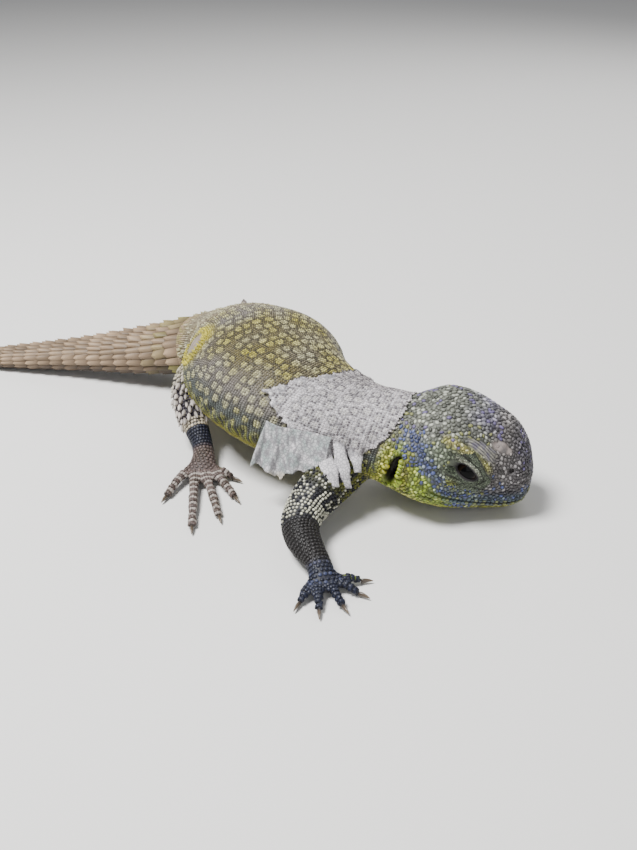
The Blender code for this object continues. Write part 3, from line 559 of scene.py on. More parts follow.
def head_colour(s, a, points, rough):
    """Colours of the head: grey crown, blue band, lime cheek and ear rim, dark muzzle, pale brow, and painted
    shade in the wrinkle grooves, the lid grooves, round the lid opening and in the ear openings.
    """
    count = len(s)
    behind = s - blue_line(a)
    colour = plain(CROWN, count)
    colour = blend(colour, TEMPLE, ease(-a, -46, -26) * 0.8)
    colour = blend(colour, VIOLET, 0.65 * bump(s, 15, 6.5) * bump(a, 74, 17) * (0.9 + 0.6 * rough))
    colour = blend(colour, SNOUT_GREY, 1 - ease(s, 12, 18))
    dark = (1 - ease(s, 5, 11)) * (0.75 + 0.3 * rough) * (0.35 + 0.65 * ease(a, 30, 60))
    colour = blend(colour, MUZZLE_AND_WRINKLE_SHADE, dark)
    colour = blend(colour, MUZZLE_AND_WRINKLE_SHADE, 0.85 * ease(-a, -4, 8) * (1 - ease(s, 12, 17)))
    colour = blend(colour, TEMPLE, ease(-a, 2, 14) * ease(s, 14, 20))
    colour = blend(colour, LIME, ease(behind, 1.0, 3.2) * ease(-a, -38, -22) * (0.85 + 0.5 * rough))
    band = 0.55 * bump(behind, 0, 2.3) * ease(-a, -60, -40)
    colour = blend(colour, BLUE, band * (0.95 + 0.4 * rough))
    colour = blend(colour, LIME, 0.85 * ease(-a, 4, 12) * ease(s, 20, 26))
    colour = blend(colour, YELLOW_GREEN, 0.8 * ease(-a, 22, 40))
    colour = blend(colour, LIP, 0.8 * bump(a, -14, 9) * (1 - ease(s, 22, 28)))
    over = a - brow_angle(s)
    bare_grey_and_crease_shade = blend(plain(WRINKLE_GREY, count), CREAM, 0.25 + 0.6 * rough)
    bare_grey_and_crease_shade = blend(bare_grey_and_crease_shade, VIOLET, 0.3 * ease(-rough, 0.1, 0.5))
    # Painted shade in the grooves of the wrinkles, where the skin is pushed in.
    bare_grey_and_crease_shade = blend(bare_grey_and_crease_shade, MUZZLE_AND_WRINKLE_SHADE, 0.75 * ease(-wrinkles(s, a, points), 0.1, 0.8))
    colour = blend_arrays(colour, bare_grey_and_crease_shade, wrinkle_zone(s, a))
    colour = blend(colour, ROSE_GREY, smooth_patch(s, a) * (0.85 + 0.6 * rough))
    colour = blend(colour, BROW, bump(over, 0, 4.0) * ease(s, 12.5, 15) * (1 - ease(s, 27, 30)))
    for side in (1, -1):
        gap, turn, radius, facing = lid_place(points, side)
        near = (gap < 6) & on_eye(radius, facing)
        some, d, up = colour[near], gap[near], np.sin(turn[near])
        some = blend(some, LID_GREEN, 1 - ease(d, 2.9, 3.6))
        low = ease(-up, 0.1, 0.6) * ease(-np.cos(turn[near]), -0.2, 0.6)
        some = blend(some, YELLOW_GREEN, 0.85 * low * bump(d, 3.2, 0.9))
        some = blend(some, LID_GREEN, 0.9 * (1 - ease(d, 1.5, 1.7)))
        some = blend(some, LID_PALE, (1 - ease(d, 1.35, 1.6)) * (0.10 + 0.90 * ease(up, -0.2, 0.5)))
        some = blend(some, LID_PALE, 0.5 * bump(d, 2.3, 0.3))
        # Painted shade in the two grooves that ring the lids.
        some = blend(some, LID_AND_EAR_SHADE, 0.9 * bump(d, 1.72, 0.20) + 0.8 * bump(d, 2.95, 0.16))
        # Painted shade where the lid's rim turns in round the eye.
        some = blend(some, LID_AND_EAR_SHADE, 1 - ease(d, 0.35, 0.80))
        some = blend(some, CREAM, 0.55 * bump(d, 0.95, 0.2) * ease(up, 0.1, 0.6))
        colour[near] = some
        hole, depth = ear_place(points, side)
        # Painted shade in the sunk ear opening.
        colour = blend(colour, LID_AND_EAR_SHADE, (1 - ease(hole, 0.75, 1.02)) * (depth > -6))
    rim = bump(s, 37.2, 1.5) + bump(s, 43.6, 1.7)
    return blend(colour, YELLOW, 0.45 * rim * bump(a, 0, 34))


def ear_place(points, side):
    """Distance from the middle of an ear opening, 1 at its edge, and depth below the head's side."""
    point, forward, left, up = spine(EAR_STATION)
    axes = np.stack([forward - up * 0.16, up, left * side])
    local = (points - point - left * side * 16.6 - up * 1.6) @ axes.T
    return np.hypot(local[:, 0] / EAR_SIZE[0], local[:, 1] / EAR_SIZE[1]), local[:, 2]


def wrinkle_zone(s, a):
    """The bare patch of fine slanting wrinkles between brow and crown: 1 inside it."""
    over = a - brow_angle(s)
    across = ease(over, 4, 7) * (1 - ease(over + (s - 17) * 1.2, 17, 25))
    return across * ease(s, 12.0, 14.5) * (1 - ease(s, 20, 24.5))


def wrinkles(s, a, points):
    """The height of the wrinkles between brow and crown, from -1 to 1."""
    return np.sin((a - brow_angle(s)) * 1.75 + 1.6 * np.sin(s * 0.6) + 0.9 * grain(points, 2.2))


def smooth_patch(s, a):
    """The bare pinkish patch before the eye: 1 inside it."""
    return 1 - ease(np.hypot((s - PATCH_STATION) / 3.6, (a - PATCH_ANGLE) / 8.0), 0.60, 1.10)


def limb_colour(name, t, points):
    """Colours of a foreleg or a hind leg."""
    rough, broad = grain(points, 1.5, 5.0), grain(points, 5.0, 7.0)
    count = len(t)
    if name.endswith("arm"):
        colour = plain(ARM_BLACK, count)
        colour = blend(colour, YELLOW_GREEN, 0.65 * (1 - ease(t, 0.30, 0.75)) * ease(rough, -0.3, 0.4))
        colour = blend(colour, FOREARM, ease(t, 1.12, 1.25))
        return blend(colour, HAND, ease(t, 1.85, 2.1))
    colour = plain(LEG_DARK, count)
    colour = blend(colour, LEG_RIDGE, (1 - ease(t, 0.55, 1.0)) * (0.8 + 0.4 * rough))
    colour = blend(colour, YELLOW, 0.5 * (1 - ease(t, 0.40, 0.8)) * ease(rough, -0.1, 0.5))
    colour = blend(colour, ANKLE, ease(t, 1.55, 1.62) * (1 - ease(t, 1.92, 2.05)))
    colour = blend(colour, FOOT, ease(t, 1.95, 2.1))
    return blend(colour, TAIL_DARK, 0.6 * ease(broad, 0.05, 0.5) * ease(t, 2.0, 2.2))


# Meshes.

def link(obj, body="root"):
    """Puts an object in the scene, riding on the part's one body."""
    bpy.context.scene.collection.objects.link(obj)
    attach(obj, body)


def new_object(name, bm):
    """An object from a bmesh, with its faces smooth."""
    mesh = bpy.data.meshes.new(name)
    bm.to_mesh(mesh)
    bm.free()
    mesh.shade_smooth()
    return bpy.data.objects.new(name, mesh)


def smoothed(bm, factor, times):
    """Evens out the points of a bmesh."""
    for _ in range(times):
        bmesh.ops.smooth_vert(bm, verts=bm.verts, factor=factor, use_axis_x=True, use_axis_y=True,
                              use_axis_z=True)


def surface_tree(mesh):
    """A tree that finds the nearest place on a mesh."""
    bm = bmesh.new()
    bm.from_mesh(mesh)
    tree = BVHTree.FromBMesh(bm)
    bm.free()
    return tree


def store_value(mesh, name, values):
    """Stores a number for each point of a mesh."""
    layer = mesh.attributes.new(name, "FLOAT", "POINT")
    layer.data.foreach_set("value", values.astype(np.float32))


def loft(bm, rings):
    """A closed tube: a circle laid on each ring of points, bridged to the next, with capped ends."""
    rows = []
    for ring in rings:
        verts = bmesh.ops.create_circle(bm, segments=len(ring), radius=1.0)["verts"]
        for vert, point in zip(verts, metres(ring)):
            vert.co = point
        rows.append([bm.edges.get((verts[i], verts[(i + 1) % len(verts)])) for i in range(len(verts))])
    for one, two in zip(rows, rows[1:]):
        bmesh.ops.bridge_loops(bm, edges=one + two)
    for row in (rows[0], rows[-1]):
        bmesh.ops.contextual_create(bm, geom=row)


def add_ball(bm, centre, axes, radii):
    """An ellipsoid in a bmesh."""
    made = bmesh.ops.create_uvsphere(bm, u_segments=24, v_segments=16, radius=1.0)["verts"]
    for vert in made:
        vert.co = Vector(metres(np.asarray(centre) + (np.array(vert.co) * radii) @ np.asarray(axes)))


def toe_rings(points, radii):
    """Rings of twelve points round a toe's centre line."""
    runs = np.gradient(points, axis=0)
    turn = (np.arange(12) + 0.5) * 2 * math.pi / 12
    rings = []
    for point, run, radius in zip(points, runs, radii):
        run = run / np.linalg.norm(run)
        side = np.cross(run, (0, 0, 1.0))
        side /= np.linalg.norm(side)
        up = np.cross(side, run)
        rings.append(point + radius * (np.outer(np.cos(turn), side) + np.outer(np.sin(turn), up)))
    return rings


def toe_radius(t, thickness):
    """A toe's radius, with a swelling at each joint and a narrow end."""
    return thickness * (1.0 + 0.28 * (1 - t) + 0.07 * np.cos(t * 2 * math.pi * 3.2)) - 0.12


def skin_form():
    """Body, limbs, toes and lids as closed tubes in one mesh, before they are made one skin."""
    bm = bmesh.new()
    turn = np.arange(72) * 2 * math.pi / 72
    stations = np.concatenate([[1.8, 2.1, 2.6, 3.2, 4.0], np.arange(5.0, 258.0, 1.15), [257.6]])
    rings = []
    for s in stations:
        inset = SKIN_IN + 0.75 * ease(s, 147, 152) * min(1.0, float(through(HALF_WIDTH, s)) / 9)
        rings.append(body_point(np.full(72, s), turn, -inset))
    forward = spine(HEAD_START)[1]
    first = rings[0]
    rings.insert(0, first.mean(0) + (first - first.mean(0)) * 0.80 + forward * 0.45)
    rings.insert(0, first.mean(0) + (first - first.mean(0)) * 0.52 + forward * 0.85)
    loft(bm, rings)
    for _, joints, widths, heights, side, toes, thickness in LIMBS:
        around = np.arange(32) * 2 * math.pi / 32
        tube = [limb_point(joints, widths, heights, np.full(32, t), around, -SKIN_IN)
                for t in np.linspace(0, 3, 49)]
        last = tube[-1]
        run = np.array(joints[3]) - np.array(joints[2])
        run[2] = 0
        run /= np.linalg.norm(run)
        tube.append(last.mean(0) + (last - last.mean(0)) * 0.86 + run * 0.8)
        tube.append(last.mean(0) + (last - last.mean(0)) * 0.6 + run * 1.5)
        loft(bm, tube)
        for toe in toes:
            points, heading = toe_path(joints, side, toe, thickness, 17)
            radii = toe_radius(np.linspace(0, 1, 17), thickness)
            rings = toe_rings(points, radii)
            rings.append(points[-1] + (rings[-1] - points[-1]) * 0.6 + heading * 0.35)
            loft(bm, rings)
    for side in (1, -1):
        centre, *axes = eye_frame(side)
        add_ball(bm, centre, axes, (LID * 1.08, LID, LID))
    return bm


def refine(bm, keep):
    """Halves the edges of faces whose middle keep() accepts."""
    centres = np.array([face.calc_center_median()[:] for face in bm.faces]) / MM + ORIGIN
    chosen = keep(centres)
    edges = {edge for face, wanted in zip(bm.faces, chosen) if wanted for edge in face.edges}
    bmesh.ops.subdivide_edges(bm, edges=list(edges), cuts=1, use_grid_fill=True)


def mouth_line():
    """Points on the line of the mouth, from one corner round the snout to the other."""
    right = []
    for s in np.linspace(MOUTH[-1][0], HEAD_START, 60):
        height = float(through(MOUTH, s))
        depth = through(BELLY_DEPTH, s)
        sine = -(max(-height, 0.0) / depth) ** (through(ROUNDNESS, s) / 2)
        right.append((s, math.asin(max(min(sine, 1), -0.95))))
    ends = [body_point(s, math.pi - a) for s, a in right]
    other = [body_point(s, a) for s, a in right][::-1]
    forward = spine(HEAD_START)[1]
    front = [ends[-1] * (1 - t) + other[0] * t + forward * 0.9 * math.sin(math.pi * t)
             for t in np.linspace(0.1, 0.9, 9)]
    return np.array(ends + front + other)


def nearest_gap(points, line):
    """Distance from points to a row of points, and the index of the nearest."""
    gap = ((points[:, None, :] - line[None]) ** 2).sum(-1)
    return np.sqrt(gap.min(1)), gap.argmin(1)


def shape_face(points, normals):
    """Cuts the mouth, nostrils, ears, lids and wrinkles into the points of the skin."""
    points = points.copy()
    s, angle, _ = locate(points)
    face = s < 48
    some, a = points[face], side_angle(angle[face])
    station = s[face]
    gap, _ = nearest_gap(some, mouth_line())
    push = -1.0 * np.exp(-(gap / 0.34) ** 2) + 0.34 * np.exp(-((gap - 1.0) / 0.55) ** 2)
    over = a - brow_angle(station)
    waves = wrinkles(station, a, some)
    uneven = 0.8 + 0.5 * grain(some, 1.6, 4.0)
    push += 0.26 * waves * wrinkle_zone(station, a) * ease(np.abs(a), 5, 12) * uneven
    push += 0.35 * (smooth_patch(station, a) * (0.6 + 0.8 * np.cos((station - PATCH_STATION) * 1.5)))
    push += 0.10 * np.sin(station * 4.2 + a * 0.12) * bump(station, 8.5, 2.8) * bump(a, 22, 14)
    push += 0.38 * bump(over, 0, 3.4) * ease(station, 13, 15) * (1 - ease(station, 27, 29))
    some = some + normals[face] * push[:, None]
    for side in (1, -1):
        centre = eye_frame(side)[0]
        d, _, radius, facing = lid_place(some, side)
        margin = 3.5 + (LID - 0.42 - 3.5) * ease(d, 0.0, 0.42) + 0.30 * bump(d, 0.95, 0.5)
        inner = np.where(d < 0, 3.5, margin)
        fine = 0.05 * np.sin(d * 14) * ease(d, 1.9, 2.1) * (1 - ease(d, 2.7, 2.9))
        folds = (-0.34 * bump(d, 1.72, 0.17) + 0.16 * bump(d, 2.32, 0.36) - 0.26 * bump(d, 2.95, 0.16)
                 + 0.14 * bump(d, 3.5, 0.3) + fine)
        own = 1 - ease(d, 0.6, 1.5)
        target = own * inner + (1 - own) * radius + folds * ease(d, 1.2, 1.5) * (1 - ease(d, 4.0, 4.6))
        weight = ease(facing, 0.12, 0.35) * (radius < 8)
        some = centre + (some - centre) * (1 + weight * (target / radius - 1))[:, None]
        outward = (spine(EAR_STATION)[2] * side)[None]
        hole, depth = ear_place(some, side)
        sunk = (1 - ease(hole, 0.45, 1.0)) * 3.6 * (depth > -5)
        some = some - outward * sunk[:, None]
        rim = 0.8 * bump(hole, 1.22, 0.22) * (depth > -6)
        some = some + outward * rim[:, None]
        gap = np.linalg.norm(some - nostril_at(side), axis=1)
        some = some - outward * (1.3 * (1 - ease(gap, 0.45, 0.95)) - 0.28 * bump(gap, 1.25, 0.3))[:, None]
    points[face] = some
    return points


def shape_trunk(points, normals):
    """Lays the slanting folds of neck, armpit and flank into the points of the skin."""
    s, angle, reach = locate(points)
    a = side_angle(angle)
    slant = s + a * 0.16
    flank = bump(a, -4, 20) * bump(s, 84, 17)
    push = 0.45 * np.sin(slant * 1.15 + 0.8 * np.sin(a * 0.11)) * flank * (reach < 1.15)
    push += 0.30 * np.sin(slant * 2.0) * bump(a, -8, 16) * bump(s, 128, 12) * (reach < 1.12)
    push += 0.25 * np.sin(s * 1.9 + a * 0.05) * bump(a, 30, 40) * bump(s, 50, 5) * (reach < 1.12)
    return points + normals * push[:, None]


def build_skin():
    """One skin over the whole animal, finest at the face."""
    source = new_object("skin_form", skin_form())
    bpy.context.scene.collection.objects.link(source)
    modifier = source.modifiers.new("Remesh", "REMESH")
    modifier.mode = "VOXEL"
    modifier.voxel_size = VOXEL * MM
    graph = bpy.context.evaluated_depsgraph_get()
    mesh = bpy.data.meshes.new_from_object(source.evaluated_get(graph))
    bpy.data.objects.remove(source)
    bm = bmesh.new()
    bm.from_mesh(mesh)
    smoothed(bm, 0.5, 3)
    head = spine(HEAD_MIDDLE)[0]
    refine(bm, lambda c: (np.linalg.norm(c - head, axis=1) < HEAD_REACH) & (locate(c)[0] < 46.5))
    mouth = mouth_line()

    def face_detail(centres):
        """The mouth, the wrinkles, the lids and the nostrils."""
        wanted = np.zeros(len(centres), bool)
        near = np.linalg.norm(centres - head, axis=1) < HEAD_REACH
        part = centres[near]
        found = nearest_gap(part, mouth)[0] < 1.2
        s, angle, _ = locate(part)
        a = side_angle(angle)
        found |= (wrinkle_zone(s, a) > 0.3) & (part[:, 2] > 12)
        for side in (1, -1):
            gap, _, _, facing = lid_place(part, side)
            found |= (gap < 4.0) & (facing > 0.15)
            found |= np.linalg.norm(part - nostril_at(side), axis=1) < 1.8
        wanted[near] = found
        return wanted

    refine(bm, face_detail)
    smoothed(bm, 0.5, 1)
    bm.normal_update()
    points = millimetres(bm.verts)
    normals = np.array([vert.normal[:] for vert in bm.verts])
    points = shape_face(shape_trunk(points, normals), normals)
    points[:, 2] = np.maximum(points[:, 2], FLOOR_GAP)
    for vert, point in zip(bm.verts, metres(points)):
        vert.co = point
    skin = new_object("skin", bm)
    link(skin)
    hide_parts(*[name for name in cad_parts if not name.startswith(("claw", "eye", "shed"))])
    paint_skin(skin, points)
    return skin


def paint_skin(skin, points):
    """Stores the markings on the skin's points."""
    s, angle, reach = locate(points)
    colour = body_colour(s, angle, points, True)
    for name, joints, widths, heights, *_ in LIMBS:
        t, ratio = limb_locate(points, joints, widths, heights)
        near = (ratio < 1.35) | ((t > 2.9) & (ratio < 7))
        amount = near * ease(reach, 1.0, 1.10)
        if amount.max() > 0:
            chosen = amount > 0
            limb = limb_colour(name, t[chosen], points[chosen])
            colour[chosen] = blend_arrays(colour[chosen], limb, amount[chosen])
    store_colour(skin.data, colour)
    a = side_angle(angle)
    bare = np.maximum(wrinkle_zone(s, a), smooth_patch(s, a)) * (s < 40) * ease(points[:, 2], 10, 13)
    for side in (1, -1):
        gap, _, radius, facing = lid_place(points, side)
        bare = np.maximum(bare, (1 - ease(gap, 3.6, 4.4)) * on_eye(radius, facing))
    bare = np.maximum(bare, 1 - ease(np.linalg.norm(points - ROSETTE_AT, axis=1), 3.4, 4.6))
    store_value(skin.data, "bare", bare)


def store_colour(mesh, colour):
    """Stores the colour of each point of a mesh, with full alpha."""
    layer = mesh.color_attributes.new("hide", "FLOAT_COLOR", "POINT")
    rows = np.concatenate([colour, np.ones((len(colour), 1))], 1)
    layer.data.foreach_set("color", rows.astype(np.float32).ravel())


# Scales.

# Round kinds of scale: sides, radius at foot and shoulder, lift, then each step up to the point, as inset,
# rise and shift along, and last the rise and the shift of the point.
ROUND_KINDS = {
    "granule": (6, 1.0, 0.80, 0.10, (), (0.42, 0.18)),
    "bead": (8, 1.02, 0.94, -0.05, ((0.26, 0.42, 0.0),), (0.26, 0.0)),
    "spine": (8, 1.0, 0.86, 0.0, ((0.16, 0.42, 0.28), (0.30, 0.30, 0.42)), (0.14, 0.34)),
    "plate": (8, 1.0, 0.95, 0.05, ((0.30, 0.42, 0.0),), (0.16, 0.0)),
}


def top_face(bm):
    """The highest face of a scale."""
    return max(bm.faces, key=lambda face: face.calc_center_median().z)


def round_scale(bm, sides, foot, shoulder, lift, steps, point):
    """A low cone whose top is drawn in and up, step by step, to a point."""
    bmesh.ops.create_cone(bm, cap_ends=True, segments=sides, radius1=foot, radius2=shoulder, depth=0.7)
    bmesh.ops.translate(bm, verts=bm.verts, vec=(0, 0, lift))
    for inset, rise, shift in steps:
        bmesh.ops.inset_region(bm, faces=[top_face(bm)], thickness=inset, depth=rise)
        bmesh.ops.translate(bm, verts=top_face(bm).verts, vec=(shift, 0, 0))
    rise, shift = point
    for vert in bmesh.ops.poke(bm, faces=[top_face(bm)], offset=rise)["verts"]:
        vert.co.x += shift


def template(kind):
    """One scale on the plane, as points, faces and a rim value: 1 at its edge, 0 at its top.

    It spans about -1 to 1 along +X, the way it lies, and across, and its root reaches below the plane.
    """
    bm = bmesh.new()
    if kind in ROUND_KINDS:
        round_scale(bm, *ROUND_KINDS[kind])
    else:
        bmesh.ops.create_grid(bm, x_segments=6, y_segments=6, size=1.0)
        for vert in bm.verts:
            x, y = vert.co.x, vert.co.y
            keel = math.exp(-(y / 0.34) ** 2)
            rise = (x + 1) / 2
            vert.co.z = 0.02 + 0.62 * rise ** 0.8 * (1 - 0.45 * y ** 4) + 0.24 * rise ** 1.3 * keel
            vert.co.x = x * 0.98 + 0.16 * rise ** 3 * keel - 0.05 * y * y * rise
            vert.co.y = y * (0.95 - 0.05 * rise ** 3)
        edges = [edge for edge in bm.edges if edge.is_boundary]
        made = bmesh.ops.extrude_edge_only(bm, edges=edges)["geom"]
        low = [item for item in made if isinstance(item, bmesh.types.BMVert)]
        for vert in low:
            vert.co.z = -0.32
            vert.co.x = max(min(vert.co.x, 0.92), -1.0)
        bmesh.ops.holes_fill(bm, edges=[edge for edge in bm.edges if edge.is_boundary], sides=0)
    bmesh.ops.recalc_face_normals(bm, faces=bm.faces)
    bmesh.ops.triangulate(bm, faces=bm.faces)
    bm.verts.index_update()
    points = np.array([vert.co[:] for vert in bm.verts])
    faces = np.array([[vert.index for vert in face.verts] for face in bm.faces])
    bm.free()
    rim = 1 - np.clip((points[:, 2] - 0.05) / (points[:, 2].max() - 0.05), 0, 1)
    return points, faces, rim


class Seeds:
    """Places for scales: point, way they lie, sizes, colour and place on the unwrap."""

    def __init__(self):
        self.rows = []

    def add(self, points, lie, length, width, height, colour, unwrap):
        """Adds scales, with sizes given as one number or as one for each."""
        count = len(points)
        sizes = [np.broadcast_to(value, count) for value in (length, width, height)]
        self.rows.append(np.column_stack([points, lie, *sizes, colour, unwrap]))

    def all(self):
        """Every scale as one array."""
        return np.concatenate(self.rows)


def grow(name, kind, rows, tree, finish, jitter):
    """Sets scales on the skin and joins them into pieces of a safe size."""
    shape, faces, rim = template(kind)
    rng = np.random.default_rng(SEED + len(rows))
    kept = []
    for row in rows:
        place, normal, _, gap = tree.find_nearest(Vector(metres(row[:3])))
        if gap < SEED_REACH:
            kept.append((*place, *normal, *row[3:]))
    data = np.array(kept)
    at, up, lie = data[:, 0:3], data[:, 3:6], data[:, 6:9]
    lie = lie - up * (lie * up).sum(1, keepdims=True)
    lie /= np.linalg.norm(lie, axis=1, keepdims=True) + 1e-9
    across = np.cross(up, lie)
    twist = rng.normal(0, jitter, len(data))[:, None]
    lie, across = (lie * np.cos(twist) + across * np.sin(twist),
                   across * np.cos(twist) - lie * np.sin(twist))
    size = data[:, 9:12] * MM * (1 + rng.uniform(-jitter, jitter, (len(data), 3)))
    step = PIECE_FACES // len(faces)
    for number, first in enumerate(range(0, len(data), step)):
        part = slice(first, first + step)
        count = len(data[part])
        points = (at[part, None] + lie[part, None] * (shape[None, :, 0:1] * size[part, None, 0:1])
                  + across[part, None] * shape[None, :, 1:2] * size[part, None, 1:2]
                  + up[part, None] * shape[None, :, 2:3] * size[part, None, 2:3])
        points[..., 2] = np.maximum(points[..., 2], 0.00002)
        mesh = bpy.data.meshes.new(f"{name}_{number + 1}")
        index = (faces[None] + np.arange(count)[:, None, None] * len(shape)).reshape(-1)
        mesh.vertices.add(count * len(shape))
        mesh.vertices.foreach_set("co", points.astype(np.float32).ravel())
        mesh.loops.add(len(index))
        mesh.loops.foreach_set("vertex_index", index.astype(np.int32))
        mesh.polygons.add(len(index) // 3)
        mesh.polygons.foreach_set("loop_start", np.arange(0, len(index), 3, dtype=np.int32))
        mesh.update()
        mesh.validate()
        mesh.shade_smooth()
        tone = 1 + rng.normal(0, TONE_RANGE, (count, 1))
        colour = np.clip(data[part, 12:15] * tone, 0, 1)
        store_colour(mesh, np.repeat(colour, len(shape), 0))
        store_value(mesh, "rim", np.tile(rim, count))
        layer = mesh.uv_layers.new(name="OFBake")
        patch = data[part, None, 15:17] + shape[None, :, 0:2] * UV_PATCH
        layer.data.foreach_set("uv", patch.reshape(-1, 2)[index].astype(np.float32).ravel())
        mesh.materials.append(finish)
        piece = bpy.data.objects.new(mesh.name, mesh)
        link(piece)


def scattered(mesh, density, keep):
    """Random points on a mesh, so many on each square mm of the faces that keep() accepts."""
    mesh.calc_loop_triangles()
    corners = np.empty(len(mesh.loop_triangles) * 3, np.int32)
    mesh.loop_triangles.foreach_get("vertices", corners)
    place = np.empty(len(mesh.vertices) * 3, np.float32)
    mesh.vertices.foreach_get("co", place)
    faces = place.reshape(-1, 3)[corners.reshape(-1, 3)].astype(float) / MM + ORIGIN
    faces = faces[keep(faces.mean(1))]
    first, run, other = faces[:, 0], faces[:, 1] - faces[:, 0], faces[:, 2] - faces[:, 0]
    area = np.linalg.norm(np.cross(run, other), axis=1) / 2
    rng = np.random.default_rng(SEED)
    pick = rng.choice(len(faces), int(area.sum() * density), p=area / area.sum())
    u, v = rng.random((2, len(pick), 1))
    turned = u + v > 1
    u, v = np.where(turned, 1 - u, u), np.where(turned, 1 - v, v)
    return first[pick] + run[pick] * u + other[pick] * v


def pack(samples, gap):
    """Packs scales over samples, gap apart: middles, the long way of each, and half its length and width."""
    tree = kd_tree(samples)
    taken, chosen = np.zeros(len(samples), bool), []
    for index in range(len(samples)):
        if not taken[index]:
            chosen.append(index)
            for _, other, _ in tree.find_range(Vector(samples[index]), gap[index] * 0.80):
                taken[other] = True
    middles = samples[chosen]
    count = len(middles)
    for _ in range(3):
        tree = kd_tree(middles)
        near = np.array([tree.find(Vector(sample))[1] for sample in samples])
        total = np.maximum(np.bincount(near, minlength=count), 1)
        middles = np.stack([np.bincount(near, samples[:, k], count) / total for k in range(3)], 1)
    offset = samples - middles[near]
    spread = np.stack([np.bincount(near, offset[:, i] * offset[:, j], count) / total
                       for i in range(3) for j in range(3)], 1)
    values, ways = np.linalg.eigh(spread.reshape(-1, 3, 3))
    size = 2 * np.sqrt(np.maximum(values, 0.0025))
    keep = total >= 4
    return middles[keep], ways[keep, :, 2], size[keep, 2], size[keep, 1]


def body_unwrap(s, angle):
    """A place on the unwrap of the body, all of it in the left part of the sheet."""
    v = 0.03 + 0.94 * np.asarray(angle) / (2 * math.pi)
    return np.column_stack([0.02 + 0.70 * np.clip(s, 0, 262) / 262, v])


def limb_unwrap(number, t, angle, toe=0):
    """A place on the unwrap of a limb, in a strip of its own at the right of the sheet."""
    u = 0.75 + 0.055 * number + 0.05 * (np.asarray(angle) % (2 * math.pi)) / (2 * math.pi)
    return np.column_stack([u, 0.03 + 0.30 * np.asarray(t) / 3 + 0.11 * toe])


def body_rows(first, last, row_gap, gap):
    """Stations and angles of scales set in rows round the body, half a step apart from row to row."""
    rng = np.random.default_rng(SEED)
    angles = np.linspace(0, 2 * math.pi, 361)
    found = []
    for row, s in enumerate(np.arange(first, last, row_gap)):
        ring = body_point(np.full(361, s), angles)
        step = np.linalg.norm(np.diff(ring, axis=0), axis=1)
        count = np.concatenate([[0], np.cumsum(step / gap(s, (angles[1:] + angles[:-1]) / 2))])
        place = np.interp(np.arange((row % 2) * 0.5, count[-1], 1.0), count, angles)
        spot = np.full(len(place), s) + rng.normal(0, row_gap * 0.07, len(place))
        found.append(np.column_stack([spot, place + rng.normal(0, 0.003, len(place))]))
    found = np.concatenate(found)
    return found[:, 0], found[:, 1]


def trunk_scales(seeds):
    """Fine scales in even rows over neck and trunk, larger below, and none under the loose skin."""
    s, angle = body_rows(44.6, 149.0, 0.70, lambda at, turn: np.where(side_angle(turn) < -38, 1.25, 0.76))
    points = body_point(s, angle)
    keep = (shed_mask(s, angle, points, 0.0) < 0.5) & (np.linalg.norm(points - ROSETTE_AT, axis=1) > 4.2)
    s, angle, points = s[keep], angle[keep], points[keep]
    low = side_angle(angle) < -38
    colour = body_colour(s, angle, points, True)
    seeds.add(points, -spine(s)[1], np.where(low, 0.60, 0.47), np.where(low, 0.66, 0.41), 0.36, colour,
              body_unwrap(s, angle))


def clear_of_face(s, angle, points):
    """Leaves out places on the mouth, the lids, the ears, the nostrils and the bare patches."""
    keep = nearest_gap(points, mouth_line())[0] > 0.85
    a = side_angle(angle)
    keep &= np.maximum(wrinkle_zone(s, a), smooth_patch(s, a)) + 0.45 * grain(points, 1.5, 6.0) < 0.55
    for side in (1, -1):
        gap, _, radius, facing = lid_place(points, side)
        keep &= ~((gap < 3.25) & on_eye(radius, facing))
        hole, depth = ear_place(points, side)
        keep &= ~((hole < 1.08) & (depth > -6))
        keep &= np.linalg.norm(points - nostril_at(side), axis=1) > 1.25
    return keep


def flecked(colour, rng, s, a):
    """Sets some of the scales of the head off from the rest, as paler, darker, blue or violet ones."""
    count = len(colour)
    draw = rng.random((count, 1))
    behind = s - blue_line(a)
    likely = 0.72 * bump(behind, 0.5, 3.8) * ease(-a, -58, -40) + 0.16 * (s < 24) * (a < 12) * (a > -20)
    blue = (rng.random(count) < likely)[:, None]
    deep = np.array(BLUE) * rng.uniform(0.35, 1.25, (count, 1)) + rng.uniform(0, 0.05, (count, 1))
    colour = np.where(blue, deep, colour)
    above = (a > -40)[:, None] & ~blue
    colour = np.where((draw < 0.22) & above, np.clip(colour * 2.0 + 0.08, 0, 0.70), colour)
    colour = np.where((draw > 0.82) & above, colour * 0.42, colour)
    green = (draw > 0.56) & (draw < 0.68) & (a < 70)[:, None] & ~blue & (s > 14)[:, None]
    colour = np.where(green, colour * 0.5 + np.array(YELLOW_GREEN) * 0.5, colour)
    violet = (draw > 0.74) & (draw < 0.80) & (a > 30)[:, None]
    return np.where(violet, np.array(VIOLET) * 0.8, colour)


